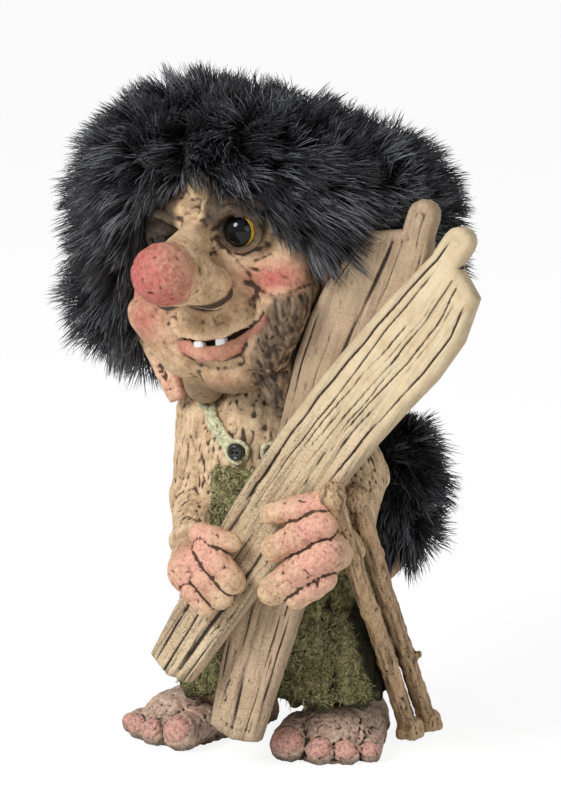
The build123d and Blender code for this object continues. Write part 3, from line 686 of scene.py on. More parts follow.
def ski_grooves(ski, p, seed, lines):
    """Long carved grooves along the ski's taper, each with its own depth and width."""
    low, high = ski.sides(p[1])
    middle = (low + high) / 2
    half = np.abs(high - low) / 2
    s = (p[0] - middle) / half
    face = step(0.0, 1.6, np.abs(p[2]) - 2.4)
    total = 0.0
    for i, (centre, start, end, deep, wide) in enumerate(lines):
        still = [np.asarray(p[1]) * 0 + 7.3 * i, p[1], np.asarray(p[1]) * 0]
        sway = 0.03 if abs(centre) > 0.6 else 0.10
        wander = centre + sway * grain(still, (1.0, 38.0, 1.0), seed + i)
        wander = wander + 0.02 * grain(still, (1.0, 8.0, 1.0), seed + 31 + i)
        open_ = step(start - 5, start + 5, p[1]) * (1 - step(end - 5, end + 5, p[1]))
        fade = 0.62 + 0.5 * grain(still, (1.0, 13.0, 1.0), seed + 77 + i)
        cut = np.exp(-(((s - wander) * half / wide) ** 2))
        total = np.maximum(total, deep * np.clip(fade, 0.12, 1.0) * open_ * cut)
    return total * face


def make_ski(name, ski, seed, lines, tail_wear, finish, dish):
    """A ski whose wear and dished face are given along its length."""

    def form(p):
        flat = outline(p[0], p[1], ski.corners)
        d = slab(flat, p[2], SKI_HALF, 2.2)
        sunk = step(-2.9, -4.4, flat) * (0.25 + dish(p[1]))
        return d + sunk * step(2.6, 4.2, np.abs(p[2]))

    def relief(p):
        worn = tail_wear(p[1])
        hair_lines = creases(p, (1.6, 44.0, 9.0), seed, 0.08) * (0.12 + 0.25 * worn)
        chips = np.clip(lumps(p, (2.0, 6.0, 2.0), seed + 3) - 0.62, 0, 1) * 0.5 * (0.2 + worn)
        rough = lumps(p, (1.6, 9.0, 1.6), seed + 5, 2) * (0.07 + 0.12 * worn)
        return rough - ski_grooves(ski, p, seed, lines) * 0.8 - hair_lines - chips

    def wear(p):
        return np.clip(tail_wear(p[1]) * (0.8 + 0.45 * lumps(p, (6.0, 14.0, 6.0), seed + 4)), 0, 1)

    def marked(p):
        return np.clip(ski_grooves(ski, p, seed, lines) * 1.5 - 0.15, 0, 1)

    def stain(p):
        flow = 0.7 * grain(p, (0.9, 20.0, 4.0), seed + 11) + 0.5 * grain(p, (0.45, 9.0, 3.0), seed + 12)
        rim = step(-4.5, -0.5, outline(p[0], p[1], ski.corners))
        return np.clip(step(0.05, 0.65, flow) * (0.2 + 0.55 * tail_wear(p[1])) + 0.2 * rim, 0, 1)

    x = [c[0] for c in ski.corners]
    low = (min(x) - 2.5, -4.5, -SKI_HALF - 2.0)
    high = (max(x) + 2.5, ski.length + 2.5, SKI_HALF + 2.0)
    place = (name + "_wood", ski.place, low, high, 0.43)
    sculpt(*place, form, finish, "skis", (name,), relief, 1.8, 0.17, wear, stain, marked)


# The body and its clothes
WAIST = 72.0
TRUNK = np.array(
    ((WAIST, 32, 26), (88, 30, 25), (106, 27, 23), (119, 22, 18.5), (129, 13, 13), (136, 11, 11)), float
)
SHOULDER = (24.5, -1.5, 117.0)
ARMS = {-1: ((-24.6, -9.0, 88.0), (-18.5, -28.0, 77.5)), 1: ((32.0, 3.0, 98.0), (36.0, -21.0, 79.5))}
POLES = {
    "inner_pole": ((45.5, 18.0, 3.2), (40.2, -50.4, 102.5)),
    "outer_pole": ((48.5, 30.0, 3.2), (42.4, -32.8, 98.1)),
}
PELVIS = np.array(((40, 35.5, 28.5, 3.5), (56, 34, 27.5, 3.0), (72.5, 33, 27, 0)), float)
LEGS_X = 4.2
BACK = 1.5
LOOSE_CLOTH = ((23.4, 6.6, 60), (25.4, 8.6, 42), (25.4, 8.6, 10))
FURROWS = ((-78, -122), (-46, -62), (2, -4), (46, 52), (74, 108))


def level(p, sections, column):
    """One measure of a body at each height, from its sections."""
    return np.interp(p[2], sections[:, 0], sections[:, column]).astype(np.float32)


def stack(p, sections, across, back):
    """An oval body through some levels."""
    wide = level(p, sections, 1)
    deep = level(p, sections, 2)
    near = np.sqrt(((p[0] - across) / wide) ** 2 + ((p[1] - back) / deep) ** 2)
    return (near - 1.0) * np.minimum(wide, deep)


def pelvis_form(p):
    return stack(p, PELVIS, level(p, PELVIS, 3), BACK)


def trunk_form(p):
    return stack(p, TRUNK, 0.0, BACK - (p[2] - WAIST) * 0.1)


def shoulder(side):
    return (side * SHOULDER[0], SHOULDER[1], SHOULDER[2])


def sleeve_form(p, side):
    elbow, wrist = ARMS[side]
    d = soft(limb(p, shoulder(side), elbow, 10.3, 9.2), limb(p, elbow, wrist, 9.2, 7.4), 3.0)
    way = unit(np.array(wrist) - np.array(elbow))
    cuff = np.array(wrist) + way * 1.0
    return soft(d, ring(p, cuff, way, 6.6, 2.0), 1.2)


def cloth_relief(seed, size, high, streak=5.0):
    """Rough lumps with upright folds."""

    def relief(p):
        folds = creases(p, (size, size, size * streak), seed + 5, 0.22)
        return lumps(p, size, seed) * high * 0.7 - folds * high * 0.8

    return relief


def skin_relief(seed, high):
    """Small lumps with thin wrinkles."""

    def relief(p):
        return lumps(p, 1.8, seed, 2) * high * 0.8 - creases(p, 5.0, seed + 3, 0.09) * high * 0.8

    return relief


def make_trunk():
    def form(p):
        d = np.maximum(trunk_form(p), np.maximum(72.6 - p[2], p[2] - 136.0))
        return carve(d, BACK_SKI.room(p, BODY), 0.3)

    def stain_and_painted_shade(p):
        # Painted shade on the near front of the chest below the head, broken into upright streaks.
        streak = 0.5 + 0.5 * grain(p, (1.6, 1.6, 9.0), 12) + 0.35 * grain(p, (0.9, 0.9, 4.0), 13)
        return np.clip(0.5 * step(-9.0, 6.0, p[0]) * step(-4.0, -12.0, p[1]) * streak, 0, 1)

    place = ("shirt_trunk", BODY, (-35, -30, 71), (35, 30, 138), 0.8)
    sculpt(*place, form, SHIRT, "shirt", ("trunk",), cloth_relief(11, 2.2, 0.7), stain_and_painted_shade=stain_and_painted_shade)


def make_sleeve(side, name):
    def form(p):
        d = sleeve_form(p, side)
        for ski in SKIS[::-1]:
            d = carve(d, ski.room(p, BODY), 0.3)
        for foot, top in POLES.values():
            d = carve(d, limb(p, foot, top, 3.6, 3.6), 0.3)
        return d

    def relief(p):
        folds = creases(p, (3.4, 3.4, 24.0), 27 + side, 0.14)
        return lumps(p, (2.6, 2.6, 6.0), 21 + side) * 0.45 - folds * 0.35

    spots = np.array([shoulder(side), *ARMS[side]])
    place = (name + "_cast", BODY, spots.min(0) - 12.5, spots.max(0) + 12.5, 0.5)
    sculpt(*place, form, SHIRT, "shirt", (name,), relief, 1.6, 0.16)


def furrow(side, seat, leg):
    """The two ends of one long fold down a trouser leg."""
    a, b = math.radians(seat), math.radians(leg)
    start = (3.0 + side * 35.5 * math.cos(a), BACK + 29.0 * math.sin(a), 64.0)
    end = (LEGS_X + side * (18.2 + 20.3 * math.cos(b)), 20.3 * math.sin(b) - 3.0, 15.8)
    return start, end


def make_trousers():
    """The dungaree legs. Gives back their surface outside the painted shade, for the moss to grow on."""

    def form(p):
        body = np.maximum(pelvis_form(p), 40.0 - p[2])
        for side in (-1, 1):
            leg = limb(p, (LEGS_X + side * 17.2, -3, 48), (LEGS_X + side * 18.6, -3, 8), 18.3, 19.0)
            body = soft(body, leg, 3.0)
            for pair in FURROWS:
                body = carve(body, limb(p, *furrow(side, *pair), 3.2, 3.2), 1.2)
        body = soft(body, run(p, LOOSE_CLOTH, (11.0, 16.3, 14.8)), 2.0)
        turn_ = np.arctan2(p[1] + 3.0, np.abs(p[0] - LEGS_X) - 18.0)
        hem = 19.2 + 1.2 * np.sin(turn_ * 7.0 + p[0] * 0.06) + 0.9 * np.sin(turn_ * 16.0)
        return both(both(body, p[2] - 72.2, 1.5), hem - p[2], 0.8)

    def relief(p):
        return lumps(p, (3.2, 3.2, 5.0), 33, 3) * 0.55 - creases(p, (2.4, 2.4, 6.0), 37, 0.2) * 0.35

    def stain_and_painted_shade(p):
        # Painted shade beside the poles, by the back ski and along the hem, with a ragged edge.
        poles = joined(limb(p, foot, top, 0.0, 0.0) for foot, top in POLES.values())
        ragged = 2.0 * lumps(p, 4.0, 39, 2)
        by_poles = step(11.5, 7.5, poles + ragged)
        by_ski = step(5.5, 2.5, BACK_SKI.room(p, BODY) + ragged)
        hem = 0.8 * step(22.5, 20.0, p[2] + 0.5 * ragged)
        return np.maximum.reduce([by_poles, by_ski, hem])

    place = ("dungaree_legs", BODY, (-40, -34, 15.5), (48, 35, 74.5), 0.62)
    verts, quads = sculpt(*place, form, MOSS, "dungarees", ("trousers",), relief, 2.2, 0.3, stain_and_painted_shade=stain_and_painted_shade)
    lit = stain_and_painted_shade(by_axis(verts[quads].mean(1))) < 0.45
    return verts, quads[lit]


def make_bib():
    def form(p):
        layer = np.abs(trunk_form(p) - 1.0) - 0.95
        flat = np.maximum(np.abs(p[0] - 3.0) - 17.0, np.abs(p[2] - 88.0) - 15.6)
        frayed = flat + 0.5 * np.sin(p[2] * 1.3) + 0.4 * np.sin(p[0] * 1.7)
        d = both(both(layer, frayed, 1.0), p[1], 0.5)
        return carve(d, BACK_SKI.room(p, BODY), 0.3)

    place = ("dungaree_bib", BODY, (-17, -34, 69), (23, 2, 107), 0.4)
    return sculpt(*place, form, BIB, "dungarees", ("bib",), cloth_relief(41, 2.4, 0.4, 2.0))


BUTTONS = {-1: -3.5, 1: 9.5}
BUTTON_Z = 109.3
STRAP_TOP = (24.5, 127.0, 0.0)
STRAP_HALF = 2.7


def button_front(x):
    """Where a button sits before the chest."""
    deep = np.interp(BUTTON_Z, TRUNK[:, 0], TRUNK[:, 2])
    wide = np.interp(BUTTON_Z, TRUNK[:, 0], TRUNK[:, 1])
    return BACK - 3.73 - deep * math.sqrt(1 - (x / wide) ** 2) - 2.6


def make_brace(side, name):
    x = BUTTONS[side]

    def form(p):
        under = soft(trunk_form(p), sleeve_form(p, side), 2.0)
        layer = np.abs(under - 1.0) - 0.95
        flat = [p[0] * side, p[2], np.zeros_like(p[2])]
        front = limb(flat, (3.0 * side + 6.5, 107.2, 0.0), STRAP_TOP, STRAP_HALF, STRAP_HALF)
        back = limb(flat, STRAP_TOP, (9.0, 74.0, 0.0), STRAP_HALF, STRAP_HALF)
        d = both(layer, np.where(p[1] < -1.5, front, back), 0.8)
        d = soft(d, ring(p, (x, button_front(x) + 0.9, BUTTON_Z), (0, 1, 0.12), 3.9, 0.95), 0.6)
        return carve(d, BACK_SKI.room(p, BODY), 0.3)

    low, high = sorted((side * 0.5, side * 31.0))
    place = (name + "_strap", BODY, (low - 8, -32, 70), (high + 8, 31, 131), 0.45)
    sculpt(*place, form, STRAP, "dungarees", (name,), cloth_relief(51, 1.8, 0.4))


def make_buttons():
    def disc_form(p, x):
        y = button_front(x)
        out = np.sqrt((p[0] - x) ** 2 + (p[2] - BUTTON_Z) ** 2)
        disc = slab(out - 2.9, p[1] - y, 1.1, 0.7)
        disc = soft(disc, ring(p, (x, y - 1.0, BUTTON_Z), (0, 1, 0), 2.2, 0.55), 0.3)
        for hole in (-0.75, 0.75):
            pin = np.sqrt((p[0] - x - hole) ** 2 + (p[2] - BUTTON_Z) ** 2) - 0.42
            disc = carve(disc, np.maximum(pin, p[1] - y), 0.15)
        return disc

    def form(p):
        return joined(disc_form(p, x) for x in BUTTONS.values())

    place = ("dungaree_buttons", BODY, (-8, -31, 105), (14, -19, 113.6), 0.2)
    sculpt(*place, form, BUTTON, "buttons", ("brace_buttons",), fine=0.05)


# Hands, in the frame of the carried skis
HANDS = {
    -1: (
        (-13.0, 11.0, 0.5),
        8.6,
        (
            ((-6.3, 19.2, 3.8), (3.4, 9.4, 5.4), 5.2, 4.8),
            ((-11, 14.6, 3.8), (-0.7, 3.3, 5), 5.0, 4.4),
            ((-14.8, 9.1, 2.5), (-6.4, -0.4, 4.4), 4.6, 3.8),
            ((-9.5, 23.8, 1.5), (2.6, 22.2, 4.2), 4.4, 3.3),
        ),
    ),
    1: (
        (35.0, 21.0, 1.0),
        8.0,
        (
            ((34.5, 31, 4.5), (18.5, 21.5, 5.6), 5.6, 4.6),
            ((36, 20.5, 4.5), (18.5, 7.5, 6.4), 6.2, 5.2),
            ((35, 12.5, 2.5), (26.5, 5.6, 4.8), 5.0, 4.2),
            ((34, 38, 3), (16, 33, 4.2), 4.6, 3.6),
        ),
    ),
}


def patch(p, spot, radius):
    """A round soft patch of paint."""
    return np.exp(-((ball(p, spot, 0.0) / radius) ** 2))


def make_hand(side, name):
    palm, palm_radius, fingers = HANDS[side]
    wrist = point(BODY, ARMS[side][1], CARRY)

    def form(p):
        d = limb(p, palm, wrist, palm_radius, 6.6)
        for start, end, r0, r1 in fingers:
            a, b = np.array(start), np.array(end)
            knuckle = a + (b - a) * 0.45 + (0, 0, 0.9)
            finger = soft(limb(p, a, knuckle, r0, r0 * 0.93), limb(p, knuckle, b, r0 * 0.95, r1), 1.0)
            finger = soft(finger, ball(p, knuckle + (0, 0, r0 * 0.35), r0 * 0.72), 1.2)
            d = soft(d, finger, 0.45)
        for ski in SKIS:
            d = carve(d, ski.room(p, CARRY), 0.4)
        for foot, top in POLES.values():
            ends = point(BODY, foot, CARRY), point(BODY, top, CARRY)
            d = carve(d, limb(p, *ends, 3.5, 3.5), 0.4)
        return carve(d, sleeve_form(moved(p, CARRY, BODY), side) - 0.2, 0.3)

    def blush(p):
        total = np.zeros(len(p[0]))
        for start, end, r0, _ in fingers:
            a, b = np.array(start), np.array(end)
            for share, strength in ((-0.1, 0.85), (0.2, 0.95), (0.5, 0.75), (0.72, 0.25)):
                spot = a + (b - a) * share + (0, 0, r0 * 0.7)
                total = np.maximum(total, strength * patch(p, spot, r0 * 1.15))
        back = patch(p, np.array(palm) + (-3.0 * side, 6, 6), 9.5) * 0.8
        return np.clip(np.maximum(total, back), 0, 1)

    spots = np.array([palm, wrist, *[f[0] for f in fingers], *[f[1] for f in fingers]])
    place = (name + "_cast", CARRY, spots.min(0) - 10.5, spots.max(0) + 10.5, 0.42)
    relief = skin_relief(61 + side, 0.28)
    sculpt(*place, form, SKIN, "skin", (name,), relief, fine=0.12, blush=blush)


# Feet
TOES = ((37.0, -12.5, 6.6), (38.5, -0.8, 5.2), (36.5, 8.2, 4.7), (32.5, 15.6, 4.1))


def make_foot(side, name, splay):
    a = math.radians(side * splay)
    forward = (math.sin(a), -math.cos(a), 0.0)
    outward = (math.cos(a) * side, math.sin(a) * side, 0.0)
    matrix = np.array((outward, forward, (0.0, 0.0, 1.0))).T
    ground = (matrix, AXIS + (side * 22.0, 18.5, 0.0))

    def nail(p, reach, across, r):
        return egg(p, (across, reach + 3.0 + r * 0.6, r * 1.32), (r * 0.92, r * 0.9, r * 0.74))

    def form(p):
        d = limb(p, (0, -3.5, 3.5), (0, 3.5, 3.5), 14.5, 14.5)
        d = soft(d, limb(p, (0, 12.3, 2), (0, 27.7, 2), 16.3, 15.2), 4.0)
        for reach, across, r in TOES:
            toe = limb(p, (across * 0.9, reach - 9, r * 1.15), (across, reach + 3, r - 0.6), r, r)
            d = soft(d, toe, 0.9)
            d = d + 0.3 * np.exp(-((nail(p, reach, across, r) / 0.4) ** 2))
            arc = np.abs(p[1] - reach + 1.8 + 0.05 * (p[0] - across) ** 2) - 0.2
            crease = np.maximum(arc, np.abs(p[0] - across) - r * 0.7)
            d = carve(d, np.maximum(crease, r - p[2]), 0.6)
        for across in (-7.0, 3.6, 12.0):
            start = (across * 0.85, 26, 17.0 - abs(across) * 0.35)
            d = carve(d, limb(p, start, (across, 40, 6.5), 0.4, 0.7), 1.2)
        return both(d, 0.15 - p[2], 0.4)

    def blush(p):
        total = np.zeros(len(p[0]))
        for reach, across, r in TOES:
            total = np.maximum(total, step(0.9, -0.7, nail(p, reach, across, r)))
            total = np.maximum(total, 0.5 * patch(p, (across, reach - 3.0, r * 1.9), r * 0.9))
        return total

    def stain_and_painted_shade(p):
        # Painted shade along the foot's bottom, by the floor.
        return 0.6 * step(5.0, 0.5, p[2])

    place = (name + "_cast", ground, (-19, -21, -1.5), (22, 49, 21), 0.45)
    relief = skin_relief(71 + side, 0.4)
    sculpt(*place, form, FEET, "skin", (name,), relief, blush=blush, stain_and_painted_shade=stain_and_painted_shade)


# The head, in its own frame
SKULL = ((0, -1, 50.5), (0, -1, 57.5))
SMILE = (
    (-16.0, -30.8, 23.6),
    (-12.0, -32.8, 21.3),
    (-5.0, -34.8, 19.1),
    (3.5, -35.1, 19.5),
    (8.5, -33.8, 21.3),
    (17.5, -28.4, 26.6),
)
EYES = ((-14.7, -31.5, 57.0), (14.7, -31.5, 57.0))
LIDS = (-0.4, 4.8)
NOSE = (0.0, -62.0, 46.8)


def shifted(points, offset):
    return [tuple(a + b for a, b in zip(q, offset)) for q in points]


FACE_LINES = (
    (((6.6, 55.0), (11.5, 48.0), (15.0, 41.8), (14.6, 38.4)), 0.8, 1.0),
    (((13.6, 39.0), (18.0, 36.2), (24.3, 35.0), (30.0, 34.6), (34.5, 36.6)), 1.0, 1.6),
    (((15.0, 38.0), (19.5, 33.0), (21.6, 29.5)), 0.8, 0.9),
    (((7.6, 51.6), (14.6, 48.6), (22.0, 51.0)), 0.6, 0.8),
    (((9.5, 48.6), (16.5, 45.8), (24.0, 48.2)), 0.5, 0.6),
    (((15.5, 43.6), (19.5, 42.6), (23.0, 43.4)), 0.5, 0.6),
    (((23.0, 54.6), (29.0, 51.5)), 0.6, 0.7),
    (((23.5, 58.0), (30.0, 59.0)), 0.6, 0.7),
    (((13.5, 14.0), (18.0, 18.5), (21.0, 24.0)), 0.9, 0.8),
    (((5.6, 63.0), (6.8, 67.0), (5.8, 71.0)), 0.8, 0.9),
)
# Path of the painted shade under the nose wings, mirrored to both sides.
NOSTRILS = (
    (3.4, -51.5, 34.0),
    (8.0, -49.0, 33.0),
    (10.8, -47.6, 33.8),
    (13.0, -46.0, 35.2),
    (14.2, -43.5, 36.4),
    (13.0, -38.5, 37.2),
)
SMILE_END = ((8.0, 21.2), (14.9, 24.1), (19.5, 26.6), (21.8, 28.8))
CHIN_LINE = ((-7.0, 11.2), (0.0, 9.6), (8.0, 11.0), (11.0, 13.2))


def drawn(p, line):
    """Distance from a line drawn on the face, seen from the front."""
    path = [(x, z, 0.0) for x, z in line]
    return run([p[0], p[2], np.zeros_like(p[2])], path, (0.0,) * len(path))


def head_form(p):
    d = limb(p, *SKULL, 34.5, 34.5)
    d = soft(d, limb(p, (-4, -13, 20.5), (4, -13, 20.5), 20, 20), 7.0)
    d = soft(d, limb(p, (-3, -22, 8), (3, -22, 8), 8, 8), 4.0)
    d = soft(d, limb(p, (-9, -22.5, 28), (9, -22.5, 28), 11, 11), 5.0)
    for side in (-1, 1):
        d = soft(d, limb(p, (24 * side, -20.5, 41), (24 * side, -20.5, 37), 11.3, 11.3), 3.0)
        d = soft(d, limb(p, (26 * side, -28, 30), (16.5 * side, -26, 15.4), 9.0, 8.8), 3.0)
        d = soft(d, limb(p, (7 * side, -34, 64.5), (21 * side, -28, 66.5), 4.2, 4.0), 3.5)
    d = soft(d, run(p, ((0, -28, 62), (0, -38, 55.5), (0, -52, 48.5)), (5.6, 6.2, 8.4)), 3.5)
    d = soft(d, limb(p, (0, -60, 46.6), (0, -47.5, 44.8), 9.9, 10.2), 2.0)
    for side in (-1, 1):
        d = soft(d, limb(p, (0, -55, 45.8), (7.6 * side, -44.0, 39.4), 9.2, 7.6), 2.6)
        drop, thick = (3.0, 7.6) if side < 0 else (-3.0, 10.0)
        d = soft(d, limb(p, (14 * side, -17, 10), (17.5 * side, -13, drop), 9.5, thick), 3.0)
    d = soft(d, ball(p, NOSE, 10.2), 2.0)
    upper = shifted(SMILE, (0.0, 1.0, 2.6))
    lower = shifted(SMILE, (0.0, 0.5, -3.4))
    d = soft(d, run(p, upper, (0.8, 1.3, 1.6, 1.6, 1.3, 0.8)), 5.0)
    d = soft(d, run(p, lower, (0.7, 1.7, 2.9, 3.1, 2.5, 0.8)), 1.4)
    d = carve(d, run(p, SMILE, (0.25, 0.6, 1.0, 1.0, 0.8, 0.3)), 0.5)
    d = carve(d, run(p, shifted(SMILE, (0, 2.4, 0.2)), (0.3, 0.9, 1.9, 1.9, 1.3, 0.3)), 0.5)
    for side, spot, cut in zip((-1, 1), EYES, LIDS):
        look = (0.10 * side, -1.0, 0.06)
        middle = [spot[i] + (0.2 * side, -1.4, 0.0)[i] for i in range(3)]
        d = soft(d, ring(p, middle, look, 6.4, 1.6), 1.6)
        fold = ((6.5 * side, -37.0, 60.5), (14.0 * side, -37.4, 64.6), (22.0 * side, -30.5, 60.5))
        d = soft(d, run(p, fold, (1.0, 1.8, 1.2)), 1.8)
        d = carve(d, ball(p, spot, 6.15), 0.2)
        lid = both(ball(p, spot, 7.2), spot[2] + cut - 0.1 * side * (p[0] - spot[0]) - p[2], 0.5)
        d = soft(d, np.maximum(lid, 6.12 - ball(p, spot, 0.0)), 0.3)
    front = step(-8.0, -16.0, p[1]) * step(-47.0, -42.0, p[1])
    score = 0.0
    for points, wide, deep in FACE_LINES:
        for side in (-1, 1):
            gap = drawn(p, [(x * side, z) for x, z in points])
            score = np.maximum(score, 0.42 * deep * np.exp(-((gap / wide / 1.25) ** 2)))
    d = d + score * front
    for line, wide, deep in ((SMILE_END, 0.7, 0.8), (CHIN_LINE, 1.3, 0.35)):
        d = d + deep * front * np.exp(-((drawn(p, line) / wide) ** 2))
    return d


def glow_at(p, spot, radii):
    """A soft patch that fades away from a spot."""
    return np.exp(-sum(((p[i] - spot[i]) / radii[i]) ** 2 for i in range(3)))


def shaded_jaw_side(p):
    """Where the jaw's side away from the key lamp is, nought to one; it takes painted shade and bark lines.
    """
    return step(-2.0, 5.0, p[0] - 13.5 - (p[2] - 15.0) * 0.55) * step(36.5, 33.0, p[2])


def head_blush(p):
    nose = step(14.5, 9.5, ball(p, (-1.5, -62.5, 46.3), 0.0))
    cheeks = glow_at(p, (25.0, -31.0, 40.4), (11.5, 11.0, 5.6))
    cheeks = cheeks + glow_at(p, (-28.0, -31.0, 39.0), (9.0, 9.0, 6.0))
    jowls = 0.8 * glow_at(p, (-25.0, -36.0, 29.5), (8.0, 9.0, 9.0))
    lower = run(p, shifted(SMILE, (0, 0.6, -3.0)), (0.0, 0.4, 1.0, 1.0, 0.8, 0.0))
    lips = 0.66 * step(3.4, 2.2, lower)
    gap = drawn(p, shifted(SMILE_END, (0.4, -1.9)))
    corner = 0.66 * step(2.3, 1.4, gap) * step(-22.0, -28.0, p[1])
    chin = 0.2 * glow_at(p, (0.0, -30.0, 5.0), (7.0, 6.0, 4.0))
    return np.clip(np.maximum.reduce([nose, cheeks, jowls, lips, corner, chin]), 0, 1)


# Dark lid paint round the eyes, and painted shade: under the fringe, in the nostrils and under the nose, on
# the jaw and temple on the side away from the key lamp, and under the head.
def head_dark_lids_and_shade(p):
    far_eye = step(11.5, 8.0, ball(p, (-15.2, -32.0, 58.5), 0.0))
    near_eye = 0.95 * step(10.0, 7.6, ball(p, (14.8, -32.0, 58.0), 0.0))
    eyes = np.maximum(far_eye, near_eye)
    brows = 0.9 * step(57.5, 61.0, p[2]) * step(-18.0, -24.0, p[1])
    lids = np.maximum(eyes, brows) * step(3.8, 6.6, np.abs(p[0] + 1.6))
    streak = 0.5 + 0.55 * grain(p, (1.3, 1.3, 7.0), 85) + 0.35 * grain(p, (0.7, 0.7, 3.0), 86)
    temple = step(32.5, 35.0, p[0]) * step(48.0, 42.0, p[2])
    jaw = np.maximum(shaded_jaw_side(p), temple) * (0.5 + 0.62 * streak)
    under = 0.55 * step(8.0, 0.0, p[2])
    gap = run([np.abs(p[0]), p[1], p[2]], NOSTRILS, (0.0,) * len(NOSTRILS))
    lip = run(p, ((-7.0, -33.4, 32.2), (-2.0, -33.8, 30.8), (4.0, -34.2, 31.4)), (0.0, 0.0, 0.0))
    nostrils = 0.95 * np.maximum(step(2.6, 1.2, gap), step(1.5, 0.5, lip))
    return np.clip(np.maximum.reduce([lids, jaw, under, nostrils]), 0, 1)


def make_head():
    def form(p):
        d = head_form(p)
        for ski in SKIS[::-1]:
            d = carve(d, ski.room(p, HEAD), 0.3)
        return np.maximum(d, -6.0 - p[2])

    def relief(p):
        face = step(6.0, -8.0, p[1])
        bark = creases(p, (1.7, 1.7, 10.0), 84, 0.3) * 0.55 * shaded_jaw_side(p)
        nose = step(-46.0, -54.0, p[1])
        pits = creases(p, (3.0, 3.0, 6.0), 89, 0.12) * 0.4 - lumps(p, 2.6, 82, 2) * 0.3
        bark = bark + pits * nose
        fine = lumps(p, 1.4, 81, 2) * 0.15 - creases(p, 6.0, 83, 0.07) * 0.2
        fine = fine - creases(p, 2.7, 87, 0.06) * 0.05
        return fine * face * (1 - 0.5 * step(-50.0, -55.0, p[1])) - bark

    place = ("troll_head", HEAD, (-40, -75, -7.5), (40, 36.5, 94), 0.66)
    sculpt(*place, form, FACE, "skin", ("head",), relief, fine=0.26, blush=head_blush, stain_and_painted_shade=head_dark_lids_and_shade)


EAR = ((30.0, 50.0), (51.0, 52.0), (53.0, 36.0), (31.0, -4.0), (25.0, -2.0), (28.0, 24.0))


def make_ear(side, name):
    a = math.radians(side * 15.0)
    sweep = np.array((math.cos(a), math.sin(a), 0.0))
    normal = np.cross(sweep, (0, 0, 1))
    side_place = within(HEAD, columns(sweep, (0, 0, 1), normal), (side * 30.0, -11.0, 0.0))
    corners = [(side * (x - 30.0), z) for x, z in EAR]

    def form(p):
        flat = outline(p[0], p[1], corners)
        d = slab(flat, p[2] - 2.5, 2.5, 2.0)
        bowl = soft(
            egg(p, (side * 12.0, 36.0, 5.8), (7.0, 12.0, 3.4)),
            limb(p, (side * 9.0, 30.0, 6.6), (side * 1.5, 6.0, 6.0), 3.0, 2.0),
            2.0,
        )
        d = carve(d, bowl, 1.2)
        d = soft(d, egg(p, (side * 4.0, 26.0, 4.6), (2.4, 4.0, 2.0)), 1.0)
        return carve(d, head_form(moved(p, side_place, HEAD)) - 0.2, 0.3)

    def blush(p):
        rim = step(1.5, -0.5, np.abs(outline(p[0], p[1], corners)))
        return 0.5 * np.exp(-(((p[1] - 4.0) / 9.0) ** 2)) + 0.35 * rim

    x = [c[0] for c in corners]
    place = (name + "_cast", side_place, (min(x) - 2, -7, -2), (max(x) + 2, 55, 7.5), 0.42)
    relief = skin_relief(91 + side, 0.22)
    sculpt(*place, form, SKIN, "skin", (name,), relief, fine=0.1, blush=blush)


TEETH = (((-5.2, -34.0, 18.7), -0.2), ((3.6, -34.4, 19.5), 0.05))


def make_teeth():
    def tooth_form(p, spot, lean):
        q = [p[0] - spot[0] - lean * (p[2] - spot[2]), p[1] - spot[1], p[2] - spot[2]]
        block = np.sqrt(np.sqrt((q[0] / 1.9) ** 4 + (q[1] / 1.7) ** 4 + (q[2] / 1.6) ** 4))
        return (block - 1.0) * 1.6

    def form(p):
        return joined(tooth_form(p, *tooth) for tooth in TEETH)

    def relief(p):
        return grain(p, 0.9, 95) * 0.05

    place = ("front_teeth", HEAD, (-9, -37.5, 15), (7, -30, 23), 0.2)
    sculpt(*place, form, TOOTH, "teeth", ("teeth",), relief, fine=0.05)


# Poles
def along_bark(p):
    """Coordinates with the poles' lean taken out."""
    return [p[0], p[1] + p[2] * 0.68, p[2]]


def make_pole(name, seed, stub):
    foot, top = (np.array(e) for e in POLES[name])
    way = top - foot

    def form(p):
        bow = 0.5 * grain([p[0] * 0 + seed, p[1] * 0, p[2]], (1, 1, 22.0), seed)
        bowed = [p[0] + bow, p[1], p[2]]
        d = limb(bowed, foot, top, 3.4, 3.2)
        for share, r in ((0.3, 3.6), (0.52, 3.2), (0.76, 3.6)):
            knot = foot + way * share
            d = soft(d, ball(bowed, knot, r), 1.2)
        d = soft(d, ball(p, top, 4.7), 1.5)
        if stub:
            start = foot + way * 0.29
            d = soft(d, limb(p, start, start + (4.4, -1.0, 2.4), 2.0, 1.4), 1.0)
        return np.maximum(d, 0.4 - p[2])

    def relief(p):
        bark = creases(along_bark(p), (1.3, 1.6, 12.0), seed, 0.2) * 0.4
        return lumps(p, (1.8, 1.8, 5.0), seed + 2, 2) * 0.3 - bark

    def wear(p):
        return np.clip(0.55 + 0.5 * lumps(p, (4.0, 4.0, 12.0), seed + 5), 0, 1)

    def stain(p):
        q = along_bark(p)
        flow = grain(q, (1.1, 1.4, 16.0), seed + 6) + 0.4 * grain(q, (0.6, 0.8, 7.0), seed + 7)
        return 0.8 * step(0.0, 0.6, flow)

    ends = np.array((foot, top))
    place = (name + "_wood", BODY, ends.min(0) - 8, ends.max(0) + 8, 0.45)
    sculpt(*place, form, POLE, "poles", (name,), relief, fine=0.13, blush=wear, stain_and_painted_shade=stain)


